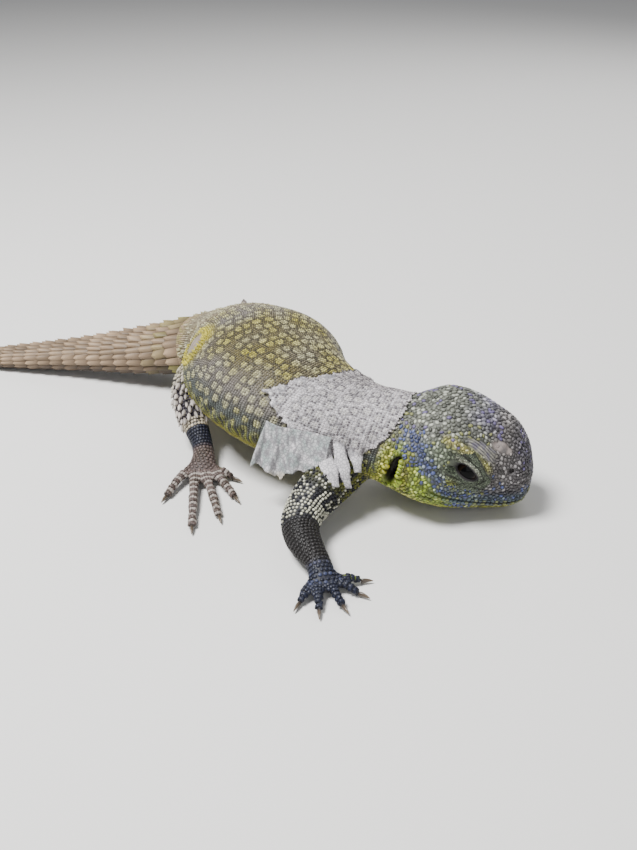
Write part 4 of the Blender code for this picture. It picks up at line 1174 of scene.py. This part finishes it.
def head_scales(skin, beads):
    """Beads packed over the head: coarse on the crown, finer on cheeks and muzzle and round the eyes."""
    head = spine(HEAD_MIDDLE)[0]
    samples = scattered(skin.data, 12.0,
                        lambda c: (np.linalg.norm(c - head, axis=1) < HEAD_REACH + 4) & (locate(c)[0] < 45.4))
    s, angle, reach = locate(samples)
    keep = clear_of_face(s, angle, samples) & (reach < 1.3)
    samples, s, a = samples[keep], s[keep], side_angle(angle[keep])
    gap = (1.10 + 0.28 * ease(a, 46, 66) * ease(s, 5, 12) - 0.12 * (1 - ease(s, 6, 10))
           - 0.12 * ease(-a, 30, 50))
    for side in (1, -1):
        lid, _, radius, facing = lid_place(samples, side)
        gap = gap - 0.30 * (1 - ease(lid, 3.6, 5.2)) * (facing > 0.1) * (radius < 9)
    points, lie, length, width = pack(samples, gap)
    s, angle, _ = locate(points)
    rng = np.random.default_rng(SEED + 1)
    colour = flecked(body_colour(s, angle, points), rng, s, side_angle(angle))
    beads.add(points, lie, length, width, 0.26 + 0.26 * width, colour, body_unwrap(s, angle))


def lip_scales(plates):
    """A row of shields above and below the line of the mouth."""
    line = mouth_line()
    run = np.gradient(line, axis=0)
    length = np.concatenate([[0], np.cumsum(np.linalg.norm(np.diff(line, axis=0), axis=1))])
    for shift, gap, phase in ((0.78, 1.25, 0.0), (-0.78, 1.30, 0.5)):
        at = np.arange(0.6 + phase, length[-1] - 0.5, gap)
        middle = np.column_stack([np.interp(at, length, line[:, k]) for k in range(3)])
        lie = np.column_stack([np.interp(at, length, run[:, k]) for k in range(3)])
        points = middle + spine(locate(middle)[0])[3] * shift
        s, angle, _ = locate(points)
        colour = blend(body_colour(s, angle, points), LIP, 0.45)
        colour = blend(colour, YELLOW_GREEN, 0.45 * (at.astype(int) % 3 == 0))
        plates.add(points, lie, gap * 0.53, 0.50, 0.40, colour, body_unwrap(s, angle))


def lid_scales(skin, beads):
    """Tiny grains packed over the lids."""
    for side in (1, -1):
        centre = eye_frame(side)[0]

        def on_lid(points):
            """The lids, off the margin and the grooves."""
            gap, _, radius, facing = lid_place(points, side)
            bare = (gap < 0.55) | (np.abs(gap - 1.72) < 0.16) | (np.abs(gap - 2.95) < 0.14)
            return ~bare & (gap < 3.4) & on_eye(radius, facing)

        samples = scattered(skin.data, 90.0, lambda c: (np.linalg.norm(c - centre, axis=1) < 8) & on_lid(c))
        points, lie, length, width = pack(samples, np.full(len(samples), 0.56))
        s, angle, _ = locate(points)
        rng = np.random.default_rng(SEED + 6)
        colour = body_colour(s, angle, points) * rng.choice((0.5, 1.0, 1.0, 1.7), (len(points), 1))
        beads.add(points, lie, length, width, 0.30, colour, body_unwrap(s, angle))


def ear_scales(beads):
    """Rounded lobes along the front of each ear and a low row behind it."""
    for side in (1, -1):
        point, forward, left, up = spine(EAR_STATION)
        # Each row: 1 for before the ear and -1 for behind it, its number of lobes, and their size.
        for front, count, size in ((1.0, 8, 1.02), (-1.0, 9, 0.85)):
            for k in range(count):
                lift = -4.6 + 9.2 * (k + 0.5) / count
                ahead = front * 2.3 * math.sqrt(max(0.1, 1 - (lift / 5.6) ** 2)) - lift * 0.16
                spot = point + left * side * 17.2 + up * (1.6 + lift) + forward * ahead
                s, angle, _ = locate(spot[None])
                colour = blend(np.array([LIME]) * 1.3, YELLOW, 0.25 * (k % 2) + 0.5 * (front < 0))
                beads.add(spot[None], -front * forward[None], size * 1.15, size * 0.74, 1.35, colour,
                          body_unwrap(s, angle))


def tail_scutes(scutes):
    """Whorls of keeled scutes round the tail, their points turned back and out."""
    pitch = np.linspace(*WHORL_PITCH, WHORLS)
    starts = TORSO_END + np.concatenate([[0.0], np.cumsum(pitch)])
    rng = np.random.default_rng(SEED + 2)
    for k in range(WHORLS):
        middle = (starts[k] + starts[k + 1]) / 2 + 0.35
        inward = 0.95 * min(1.0, float(through(HALF_WIDTH, middle)) / 9)
        around = 22 if k < 7 else (18 if k < 14 else 12)
        angle = np.arange(around) * 2 * math.pi / around + rng.normal(0, 0.012, around)
        s = np.full(around, middle)
        ring = body_point(s, angle)
        step = np.linalg.norm(np.roll(ring, -1, 0) - ring, axis=1)
        points = body_point(s, angle, -inward)
        size = min(1.0, float(through(HALF_WIDTH, middle)) / 11.0)
        tall = (1.45 + 0.75 * np.clip(np.sin(angle) + 0.4, 0, 1)) * max(size, 0.42)
        tall = np.where(np.sin(angle) < -0.45, tall * 0.62, tall)
        colour = body_colour(s, angle, ring)
        scutes.add(points, -spine(s)[1], pitch[k] * 0.54, step * 0.50, tall, colour,
                   body_unwrap(s, angle))


def hip_scutes(thorns):
    """Small thorns scattered over the rump and flanks, and a curved row of yellow ones at the groin."""
    rng = np.random.default_rng(SEED + 3)
    s = rng.uniform(112, 148, 230)
    angle = np.radians(rng.uniform(-15, 195, 230))
    points = body_point(s, angle)
    size = 0.42 + 0.30 * ease(s, 120, 146)
    colour = blend(body_colour(s, angle, points), RING, np.full(230, 0.5))
    thorns.add(points, -spine(s)[1], size, size * 0.8, size * 1.1, colour, body_unwrap(s, angle))
    _, forward, _, up = spine(ROSETTE_STATION)
    for gap, count in ((5.4, 22), (7.0, 27)):
        turn = np.radians(np.linspace(-150, 130, count))
        spots = ROSETTE_AT + gap * (np.outer(np.cos(turn), forward) + np.outer(np.sin(turn), up))
        s, angle, _ = locate(spots)
        colour = np.array(ROSETTE) * rng.uniform(0.7, 1.15, (count, 1))
        lie = np.tile(-forward, (count, 1))
        thorns.add(body_point(s, angle), lie, 0.80, 0.48, 0.75, colour, body_unwrap(s, angle))


def limb_scales(beads, plates):
    """Rows of scales round the limbs: beads with pale dots at the elbow, plates on hands, feet and toes."""
    rng = np.random.default_rng(SEED + 4)
    for number, (name, joints, widths, heights, side, toes, thickness) in enumerate(LIMBS):
        arm = name.endswith("arm")
        grid = np.linspace(0, 3, 301)
        steps = np.linalg.norm(np.diff(limb_path(joints, grid), axis=0), axis=1)
        length = np.concatenate([[0], np.cumsum(steps)])
        for row, at in enumerate(np.arange(0, length[-1], 1.12)):
            t = float(np.interp(at, length, grid))
            round_it = math.pi * (through(widths, t) + through(heights, t))
            count = int(round_it / 1.16)
            angle = (np.arange(count) + 0.5 * (row % 2)) * 2 * math.pi / count + rng.normal(0, 0.012, count)
            spot = np.full(count, t)
            points = limb_point(joints, widths, heights, spot, angle)
            colour = limb_colour(name, spot, points)
            dotted = arm and 0.25 < t < 1.16
            size = np.full(count, 0.60)
            if dotted:
                likely = 0.08 + 0.72 * float(ease(t, 0.50, 0.85))
                dot = (rng.random(count) < likely) & (np.sin(angle) > -0.7)
                pale = np.array(ARM_DOT) * rng.uniform(0.60, 1.25, (count, 1))
                colour = np.where(dot[:, None], pale, colour)
                size = np.where(dot, 0.47, 0.42)
            elif not arm and 1.55 < t < 1.68:
                colour = np.array(SHED_CUFF) * rng.uniform(0.7, 1.2, (count, 1))
            elif arm and t > 1.9:
                blue = rng.random(count) < 0.35
                colour = np.where(blue[:, None], colour * 3.0, colour)
            run = limb_axes(joints, spot)[0]
            target = plates if (not dotted and t > 1.1) else beads
            target.add(points, run, size, size, 0.52 if dotted else 0.34, colour,
                       limb_unwrap(number, spot, angle))
        for toe_number, toe in enumerate(toes):
            toe_scales(plates, name, number, joints, side, toe, toe_number, thickness)


def toe_scales(plates, name, number, joints, side, toe, toe_number, thickness):
    """Bands of plates over one toe, pale and dark by turns on the hind feet."""
    centre, heading = toe_path(joints, side, toe, thickness, 60)
    length = toe[2] + 2.0
    bands = int(length / 1.25)
    for band in range(1, bands):
        t = (band + 0.4) / bands
        if t * length < 2.2:
            continue
        middle = np.array([np.interp(t, np.linspace(0, 1, 60), centre[:, k]) for k in range(3)])
        radius = float(toe_radius(np.array(t), thickness))
        across = np.cross(heading, (0, 0, 1.0))
        turn = np.radians((12, 51, 90, 129, 168) if name.endswith("leg") else (20, 66, 114, 160))
        points = middle + radius * (np.outer(np.cos(turn), across) + np.outer(np.sin(turn), (0, 0, 1.0)))
        count = len(turn)
        colour = limb_colour(name, np.full(count, 3.0), points)
        if name.endswith("leg"):
            colour = blend(colour, THORN_CREAM, np.full(count, 0.55 * (band % 2)))
        plates.add(points, np.tile(heading, (count, 1)), 0.68, 0.62, 0.34, colour,
                   limb_unwrap(number, np.full(count, 3 * t), turn, toe_number + 3))


def leg_thorns(thorns):
    """Pale cones over thigh and shank, close and small above, large and set apart below."""
    rng = np.random.default_rng(SEED + 5)
    rows = np.concatenate([np.arange(0.40, 1.0, 0.062), np.arange(1.0, 1.58, 0.088)])
    for number, (_, joints, widths, heights, side, *_) in enumerate(LIMBS[2:], 2):
        for row, t in enumerate(rows):
            low = float(ease(t, 0.8, 1.15))
            degrees = np.arange(-40, 222, 19.0 + 7 * low) + (9.5 + 3.5 * low) * (row % 2)
            angle = np.radians(degrees if side > 0 else 180 - degrees)
            spot = np.full(len(angle), t) + rng.normal(0, 0.014, len(angle))
            angle = angle + rng.normal(0, 0.05, len(angle))
            points = limb_point(joints, widths, heights, spot, angle)
            run = limb_axes(joints, spot)[0]
            size = (0.72 + 0.42 * low) * (0.82 + 0.22 * np.sin(np.radians(np.clip(degrees, 0, 180))))
            colour = plain(THORN_CREAM, len(angle)) * rng.uniform(0.70, 1.12, (len(angle), 1))
            colour = blend(colour, RING, 0.55 * (1 - low))
            size = size * rng.uniform(0.8, 1.2, len(angle))
            thorns.add(points, run, size * 1.20, size * 0.60, size * 1.05, colour,
                       limb_unwrap(number, spot, angle))


# Finishes.

class Value:
    """A number in a material, worked out by nodes: Python's operators add the nodes."""

    def __init__(self, finish, socket):
        self.finish, self.socket = finish, socket

    def _with(self, operation, first, second):
        return self.finish.add("ShaderNodeMath", {"operation": operation}, {0: first, 1: second}).out()

    def __add__(self, other):
        return self._with("ADD", self, other)

    def __radd__(self, other):
        return self._with("ADD", other, self)

    def __sub__(self, other):
        return self._with("SUBTRACT", self, other)

    def __rsub__(self, other):
        return self._with("SUBTRACT", other, self)

    def __mul__(self, other):
        return self._with("MULTIPLY", self, other)

    def __rmul__(self, other):
        return self._with("MULTIPLY", other, self)

    def __truediv__(self, other):
        return self._with("DIVIDE", self, other)


class Added:
    """A node that was added, with its outputs."""

    def __init__(self, finish, node):
        self.finish, self.node = finish, node

    def out(self, name=0):
        """One output as a value."""
        return Value(self.finish, self.node.outputs[name])


class Finish:
    """A material on one Principled shader."""

    def __init__(self, name):
        self.material = bpy.data.materials.new(name)
        self.material.use_nodes = True
        self.tree = self.material.node_tree
        self.shader = self.tree.nodes["Principled BSDF"]

    def add(self, kind, settings=None, inputs=None):
        """Adds a node: its settings first, then its values and links."""
        node = self.tree.nodes.new(kind)
        for key, value in (settings or {}).items():
            if key == "stops":
                set_stops(node.color_ramp, value)
            else:
                setattr(node, key, value)
        for key, value in (inputs or {}).items():
            if isinstance(value, Value):
                self.tree.links.new(value.socket, node.inputs[key])
            else:
                node.inputs[key].default_value = value
        return Added(self, node)

    def set(self, name, value):
        """Sets or links one input of the shader."""
        if isinstance(value, Value):
            self.tree.links.new(value.socket, self.shader.inputs[name])
        else:
            self.shader.inputs[name].default_value = value

    def mix(self, factor, first, second, kind="MIX"):
        """Mixes two colours."""
        return self.add("ShaderNodeMix", {"data_type": "RGBA", "blend_type": kind},
                        {0: factor, 6: first, 7: second}).out(2)

    def noise(self, scale, detail=3.0, rough=0.55):
        """Fractal noise on the piece's own coordinates, in metres."""
        place = self.add("ShaderNodeTexCoord").out("Object")
        return self.add("ShaderNodeTexNoise", {}, {"Vector": place, "Scale": scale, "Detail": detail,
                                                   "Roughness": rough}).out(0)

    def attribute(self, name, output="Fac"):
        """An attribute stored on the piece."""
        return self.add("ShaderNodeAttribute", {"attribute_name": name}).out(output)

    def bump(self, height, strength, distance):
        """Sets the shader's normal from a height."""
        self.set("Normal", self.add("ShaderNodeBump", {}, {"Height": height, "Strength": strength,
                                                          "Distance": distance}).out("Normal"))


def set_stops(ramp, stops):
    """Sets the stops of a colour ramp."""
    while len(ramp.elements) < len(stops):
        ramp.elements.new(0.5)
    for element, (position, colour) in zip(ramp.elements, stops):
        element.position = position
        element.color = colour


def opaque(colour):
    """A colour with full alpha."""
    return (*colour, 1.0)


def hide_finish(name, roughness, painted_rim_shade, coat=0.0):
    """Scales: their stored markings with painted shade darkening their rims, where they meet the skin and
    their neighbours, with fine grain and a soft dry sheen.
    """
    finish = Finish(name)
    hide = finish.attribute("hide", "Color")
    mottle = finish.noise(1400.0, 4.0)
    fine = finish.noise(5200.0, 2.0)
    tint = finish.mix(mottle * 0.5, hide, finish.mix(1.0, hide, opaque((0.62, 0.58, 0.50)), "MULTIPLY"))
    rim = finish.attribute("rim")
    # Painted shade: each scale is darkened towards its rim, where it meets the skin and its neighbours.
    tint = finish.mix(rim * painted_rim_shade, tint, finish.mix(1.0, hide, opaque((0.16, 0.15, 0.14)), "MULTIPLY"))
    finish.set("Base Color", tint)
    finish.set("Roughness", fine * 0.25 + (roughness - 0.1))
    finish.set("Specular IOR Level", 0.28)
    finish.set("Coat Weight", coat)
    finish.set("Coat Roughness", 0.35)
    finish.bump(fine * 0.6 + mottle * 0.4, 0.35, 0.00012)
    return finish.material


def skin_finish():
    """Skin between the scales: its markings darkened as painted shade in the gaps between scales, save where
    it lies bare, with a fine grained bump.
    """
    finish = Finish("skin_between_scales")
    hide = finish.attribute("hide", "Color")
    place = finish.add("ShaderNodeTexCoord").out("Object")
    cells = finish.add("ShaderNodeTexVoronoi", {"feature": "F1"},
                       {"Vector": place, "Scale": 2600.0}).out("Distance")
    mottle = finish.noise(1300.0, 4.0)
    # Painted shade: the skin that shows in the gaps between the scales is darkened; bare skin keeps its
    # markings.
    dark = finish.mix(1.0, hide, opaque((0.30, 0.28, 0.27)), "MULTIPLY")
    between = finish.mix(mottle * 0.5, dark, hide)
    greyer = finish.mix(1.0, hide, opaque((0.55, 0.52, 0.52)), "MULTIPLY")
    grey = finish.mix(mottle * 0.7, hide, greyer)
    finish.set("Base Color", finish.mix(finish.attribute("bare"), between, grey))
    finish.set("Roughness", mottle * 0.2 + 0.5)
    finish.bump(1.0 - cells, 0.5, 0.00010)
    return finish.material


def eye_finish():
    """A wet dark brown eye with a black pupil and a thin paler ring."""
    finish = Finish("eye_wet")
    iris = finish.attribute("iris")
    fibres = finish.noise(2600.0, 3.0)
    stops = ((0.0, opaque((0.002, 0.002, 0.002))), (0.32, opaque((0.002, 0.002, 0.002))),
             (0.38, opaque((0.012, 0.007, 0.004))), (0.60, opaque((0.006, 0.004, 0.003))),
             (0.80, opaque((0.004, 0.003, 0.003))))
    colour = finish.add("ShaderNodeValToRGB", {"stops": stops}, {0: iris + fibres * 0.08 - 0.04}).out("Color")
    finish.set("Base Color", colour)
    finish.set("Roughness", 0.12)
    finish.set("Specular IOR Level", 0.05)
    finish.set("Coat Weight", 0.06)
    finish.set("Coat Roughness", 0.04)
    return finish.material


def claw_finish():
    """Dark horn, worn paler towards the point."""
    finish = Finish("claw_horn")
    tip = finish.attribute("tip")
    streak = finish.noise(1800.0, 3.0)
    horn = finish.mix(tip, opaque((0.035, 0.027, 0.021)), opaque((0.150, 0.110, 0.070)))
    finish.set("Base Color", finish.mix(streak * 0.4, horn, opaque((0.02, 0.015, 0.012))))
    finish.set("Roughness", streak * 0.2 + 0.22)
    finish.bump(streak, 0.2, 0.0001)
    return finish.material


def shed_finish():
    """Dry shed skin: pale, with the print of the scales that it covered and the ghost of the ring spots."""
    finish = Finish("shed_skin")
    hide = finish.attribute("hide", "Color")
    place = finish.add("ShaderNodeTexCoord").out("Object")
    cells = finish.add("ShaderNodeTexVoronoi", {"feature": "DISTANCE_TO_EDGE"},
                       {"Vector": place, "Scale": 1050.0}).out("Distance")
    print_lines = finish.add("ShaderNodeMapRange", {}, {"Value": cells, "From Max": 0.16}).out()
    fibre = finish.noise(700.0, 4.0)
    tint = finish.mix(fibre * 0.4, hide, opaque((0.40, 0.42, 0.42)))
    finish.set("Base Color", finish.mix(0.7 * (1.0 - print_lines), tint, opaque((0.10, 0.10, 0.11))))
    finish.set("Roughness", fibre * 0.2 + 0.6)
    finish.bump(print_lines * 0.7 + fibre * 0.3, 0.5, 0.0002)
    return finish.material


def floor_finish():
    """A plain pale floor."""
    finish = Finish("floor_pale")
    finish.set("Base Color", opaque((0.72, 0.71, 0.69)))
    finish.set("Roughness", 0.85)
    return finish.material


# Eyes, claws and loose skin.

def build_eyes(finish):
    """The eyes, each with its pupil turned out between the lids."""
    for side, node in ((1, "eye_left"), (-1, "eye_right")):
        centre, along, upward, out = eye_frame(side)
        bm = bmesh.new()
        bmesh.ops.create_uvsphere(bm, u_segments=48, v_segments=32, radius=EYEBALL)
        turn = np.stack([along, upward, out])
        if np.linalg.det(turn) < 0:
            turn[1] = -turn[1]
        for vert in bm.verts:
            vert.co = Vector(metres(centre + np.array(vert.co) @ turn))
        bmesh.ops.recalc_face_normals(bm, faces=bm.faces)
        eye = new_object(f"eyeball_{'left' if side > 0 else 'right'}", bm)
        facing = np.clip((millimetres(eye.data.vertices) - centre) @ out / EYEBALL, -1, 1)
        store_value(eye.data, "iris", np.degrees(np.arccos(facing)) / 90)
        eye.data.materials.append(finish)
        link(eye)
        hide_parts(node)


def build_claws(finish):
    """A curved claw on every finger and toe."""
    for name, joints, _, _, side, toes, thickness in LIMBS:
        limb = ("hand_" if name.endswith("arm") else "foot_") + name.split("_")[0]
        for number, toe in enumerate(toes, 1):
            points, heading = toe_path(joints, side, toe, thickness)
            tip = points[-1]
            bm = bmesh.new()
            rings = []
            turn = np.arange(12) * math.pi / 6
            across = np.cross(heading, (0, 0, 1.0))
            for t in np.linspace(-0.12, 1.0, 9):
                centre = tip + heading * (0.3 + 3.0 * t)
                centre[2] = tip[2] + 0.30 * math.sin(max(t, 0) * 2.5) - 0.30 * t
                radius = 0.80 * (1 - 0.84 * max(t, 0) ** 1.5) * (0.9 if t < 0 else 1.0)
                flat, rise = np.outer(np.cos(turn) * 0.72, across), np.outer(np.sin(turn), (0, 0, 1.0))
                ring = centre + radius * (flat + rise)
                ring[:, 2] = np.maximum(ring[:, 2], 0.05)
                rings.append(ring)
            loft(bm, rings)
            bmesh.ops.recalc_face_normals(bm, faces=bm.faces)
            claw = new_object(f"claw_on_{limb}_{number}", bm)
            at = (millimetres(claw.data.vertices) - tip) @ heading / 3.3
            store_value(claw.data, "tip", np.clip(at, 0, 1))
            claw.data.materials.append(finish)
            link(claw)
            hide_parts(f"claw_{limb}_{number}")


def sheet(name, outline, thick, finish, colour_at):
    """A thin ragged sheet from a grid of points, rows of columns, given thickness."""
    rows, columns = outline.shape[:2]
    bm = bmesh.new()
    bmesh.ops.create_grid(bm, x_segments=columns - 1, y_segments=rows - 1, size=1.0)
    verts = sorted(bm.verts, key=lambda vert: (round(vert.co.y, 5), round(vert.co.x, 5)))
    for vert, point in zip(verts, metres(outline.reshape(-1, 3))):
        vert.co = point
    drop = [vert for vert, point in zip(verts, outline.reshape(-1, 3)) if not np.isfinite(point).all()]
    bmesh.ops.delete(bm, geom=drop, context="VERTS")
    loose = [vert for vert in bm.verts if not vert.link_faces]
    bmesh.ops.delete(bm, geom=loose, context="VERTS")
    smoothed(bm, 0.4, 2)
    bmesh.ops.recalc_face_normals(bm, faces=bm.faces)
    bmesh.ops.solidify(bm, geom=bm.faces, thickness=thick * MM)
    bmesh.ops.recalc_face_normals(bm, faces=bm.faces)
    obj = new_object(name, bm)
    store_colour(obj.data, colour_at(millimetres(obj.data.vertices)))
    obj.data.materials.append(finish)
    link(obj)
    return obj


def loose_colour(points):
    """Colours of the loose skin from the markings of the body below it."""
    return shed_colour(points, grain(points, 1.3))


def damp_colour(points):
    """Colours of the hanging flap: grey-green, with a beige lower edge."""
    rough = grain(points, 2.0)
    colour = plain(SHED_DAMP, len(points))
    colour = blend(colour, SHED_PALE, 0.35 + 0.8 * rough)
    colour = blend(colour, SHED_NET, 0.85 * ease(grain(points * (1, 1, 0.30), 1.0, 3.0), -0.05, 0.45))
    return blend(colour, SHED_CUFF, 1 - ease(points[:, 2] + 0.8 * rough, 12.6, 14.4))


# The hanging flap: points along its root, its middle and its lower edge, and how far down it reaches.
FLAP_LINES = (
    ((56.0, -42.6, 27.4), (59.5, -42.8, 26.8), (64.5, -41.8, 26.6), (69.5, -39.8, 26.2), (75.5, -37.4, 25.0)),
    ((54.6, -46.0, 20.2), (58.3, -45.8, 18.8), (63.7, -44.8, 18.4), (69.8, -43.4, 18.8), (76.0, -41.2, 19.6)),
    ((53.4, -48.6, 13.2), (58.5, -48.4, 12.2), (64.0, -47.8, 11.4), (70.2, -45.8, 12.4), (76.8, -43.0, 14.6)),
)
FLAP_REACH = ((0, 0.99), (0.5, 0.88), (1.2, 0.93), (1.9, 0.99), (2.4, 0.84), (3.1, 0.80), (4, 0.62))
# The torn lobes before the flap: the middle line and the half width of each.
LOBES = (
    (((72.5, -37.6, 23.2), (74.9, -40.0, 18.9), (78.9, -43.7, 17.0), (81.7, -45.0, 13.4)), 3.0),
    (((77.0, -36.2, 22.8), (79.7, -39.1, 19.0), (82.0, -41.0, 15.6), (83.6, -41.0, 11.4)), 2.5),
    (((80.6, -32.9, 22.4), (82.6, -35.4, 19.2), (83.6, -36.5, 17.4), (84.2, -37.0, 15.0)), 2.2),
)
LOBE_AHEAD, LOBE_OUT = np.array((0.848, 0.530, 0.0)), np.array((0.30, -0.62, 0.72))


def build_neck_sheet(finish):
    """The sheet of shed skin over neck and shoulder, raised most at its rear edge."""
    s, turned = np.meshgrid(np.arange(40.0, 78.0, 0.55), np.arange(36.0, 186.0, 1.5))
    shape = s.shape
    s, angle = s.ravel(), np.radians(turned.ravel())
    points = body_point(s, angle)
    inside = shed_mask(s, angle, points)
    wave = grain(points, 5.0, 2.0)
    to_edge = np.array([min(abs(x - ex) + abs(y - ey) * 0.33 for ex, ey in SHED_EDGE[6:])
                        for x, y in zip(s, np.degrees(angle))])
    near_rear = 1 - ease(to_edge, 0.5, 5.0)
    raised = body_point(s, angle, 0.42 + 0.22 * wave + 0.95 * near_rear)
    raised[inside < 0.5] = np.nan
    return sheet("shed_over_neck", raised.reshape(*shape, 3), 0.14, finish, loose_colour)


def shed_scales(seeds):
    """The print of the scales that the sheet covered."""
    s, angle = body_rows(40.5, 77.0, 0.74, lambda at, turn: np.full(len(turn), 0.80))
    points = body_point(s, angle, 0.8)
    keep = (shed_mask(s, angle, points) > 0.5) & (np.sin(angle) > -0.1)
    s, angle, points = s[keep], angle[keep], points[keep]
    seeds.add(points, -spine(s)[1], 0.44, 0.36, 0.20, loose_colour(points), body_unwrap(s, angle))


def build_flap(finish):
    """The flap that hangs from the sheet, pleated and torn along its lower edge."""
    top, middle, bottom = np.array(FLAP_LINES)
    rows, columns = 36, 56
    flap = np.full((rows, columns, 3), np.nan)
    for i in range(rows):
        down = i / (rows - 1)
        for j in range(columns):
            along = 4 * j / (columns - 1)
            k, f = min(int(along), 3), along - min(int(along), 3)
            a, b, c = [line[k] * (1 - f) + line[k + 1] * f for line in (top, middle, bottom)]
            curve = a * (1 - down) * (1 - 2 * down) + 4 * b * down * (1 - down) + c * down * (2 * down - 1)
            if down < float(through(FLAP_REACH, along)) + 0.025 * math.sin(along * 13):
                pleat = math.sin(along * 5.2 + 2.2 * down) + 0.5 * math.sin(along * 11.0 - 1.5 * down)
                flap[i, j] = curve + np.array((0.12, -0.50, 0.05)) * pleat * (0.25 + down)
    piece = sheet("shed_flap_shoulder", flap, 0.16, finish, damp_colour)
    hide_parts("shed_flap")


def build_lobe(number, path, wide, finish):
    """One torn lobe, narrower towards its end."""
    path = np.array(path)
    lobe = np.full((18, 7, 3), np.nan)
    for i in range(18):
        t = i / 17
        centre = np.array([np.interp(t, (0, 0.35, 0.7, 1), path[:, k]) for k in range(3)]) + LOBE_OUT * 0.9
        for j in range(7):
            side = (j / 3 - 1) * wide * (1 - 0.50 * t ** 4.0) * (0.85 + 0.15 * math.cos(t * 9 + number))
            lobe[i, j] = centre + LOBE_AHEAD * side + LOBE_OUT * 0.35 * math.cos(side * 1.5) * (0.6 + t)
    sheet(f"shed_lobe_{number}", lobe, 0.14, finish, loose_colour)


def build_shed(finish, seeds):
    """Loose shed skin: a sheet over neck and shoulder, a flap that hangs from it, and three torn lobes."""
    loose = build_neck_sheet(finish)
    tree = surface_tree(loose.data)
    shed_scales(seeds)
    build_flap(finish)
    for number, (path, wide) in enumerate(LOBES, 1):
        build_lobe(number, path, wide, finish)
    return tree


# The studio.

def build_studio():
    """The camera at the photograph's angle, a pale floor, and soft light."""
    data = bpy.data.cameras.new("camera")
    camera = bpy.data.objects.new("camera", data)
    bpy.context.scene.collection.objects.link(camera)
    turn, down = math.radians(CAMERA_AZIMUTH), math.radians(CAMERA_DOWN)
    ahead = Vector((-math.sin(turn) * math.cos(down), math.cos(turn) * math.cos(down), -math.sin(down)))
    camera.location = Vector(metres(CAMERA_AT))
    camera.rotation_mode = "QUATERNION"
    camera.rotation_quaternion = ahead.to_track_quat("-Z", "Y")
    data.lens = CAMERA_LENS
    data.sensor_width = 36.0
    data.sensor_fit = "AUTO"
    data.clip_start = 0.01
    bpy.context.scene.camera = camera
    bm = bmesh.new()
    bmesh.ops.create_grid(bm, x_segments=1, y_segments=1, size=4.0)
    floor = new_object("floor", bm)
    floor.data.materials.append(floor_finish())
    bpy.context.scene.collection.objects.link(floor)
    for name, place, size, power in LAMPS:
        light = bpy.data.lights.new(name, "AREA")
        light.size = size
        light.energy = power
        obj = bpy.data.objects.new(name, light)
        obj.location = place
        obj.rotation_mode = "QUATERNION"
        obj.rotation_quaternion = (Vector((0.0, 0.0, 0.01)) - Vector(place)).to_track_quat("-Z", "Y")
        bpy.context.scene.collection.objects.link(obj)
    world = bpy.data.worlds.new("studio")
    world.use_nodes = True
    world.node_tree.nodes["Background"].inputs["Color"].default_value = (0.90, 0.93, 1.0, 1.0)
    world.node_tree.nodes["Background"].inputs["Strength"].default_value = 0.20
    bpy.context.scene.world = world


def main():
    build_studio()
    skin = build_skin()
    skin.data.materials.append(skin_finish())
    tree = surface_tree(skin.data)
    body, plates, beads, thorns, scutes, loose = [Seeds() for _ in range(6)]
    trunk_scales(body)
    head_scales(skin, beads)
    lip_scales(plates)
    lid_scales(skin, beads)
    ear_scales(beads)
    hip_scutes(thorns)
    limb_scales(beads, plates)
    leg_thorns(thorns)
    tail_scutes(scutes)
    grow("scales_trunk", "granule", body.all(), tree, hide_finish("scales_trunk", 0.55, 0.8), 0.07)
    grow("plates", "plate", plates.all(), tree, hide_finish("scales_plates", 0.45, 0.85, 0.1), 0.12)
    grow("beads", "bead", beads.all(), tree, hide_finish("scales_beads", 0.42, 0.95, 0.12), 0.06)
    grow("thorns", "spine", thorns.all(), tree, hide_finish("scales_thorns", 0.5, 0.5), 0.10)
    grow("scutes", "scute", scutes.all(), tree, hide_finish("scutes_tail", 0.5, 0.9), 0.05)
    build_eyes(eye_finish())
    build_claws(claw_finish())
    loose_tree = build_shed(shed_finish(), loose)
    print_finish = hide_finish("scales_shed", 0.6, 0.9)
    grow("shed_print", "granule", loose.all(), loose_tree, print_finish, 0.07)


main()
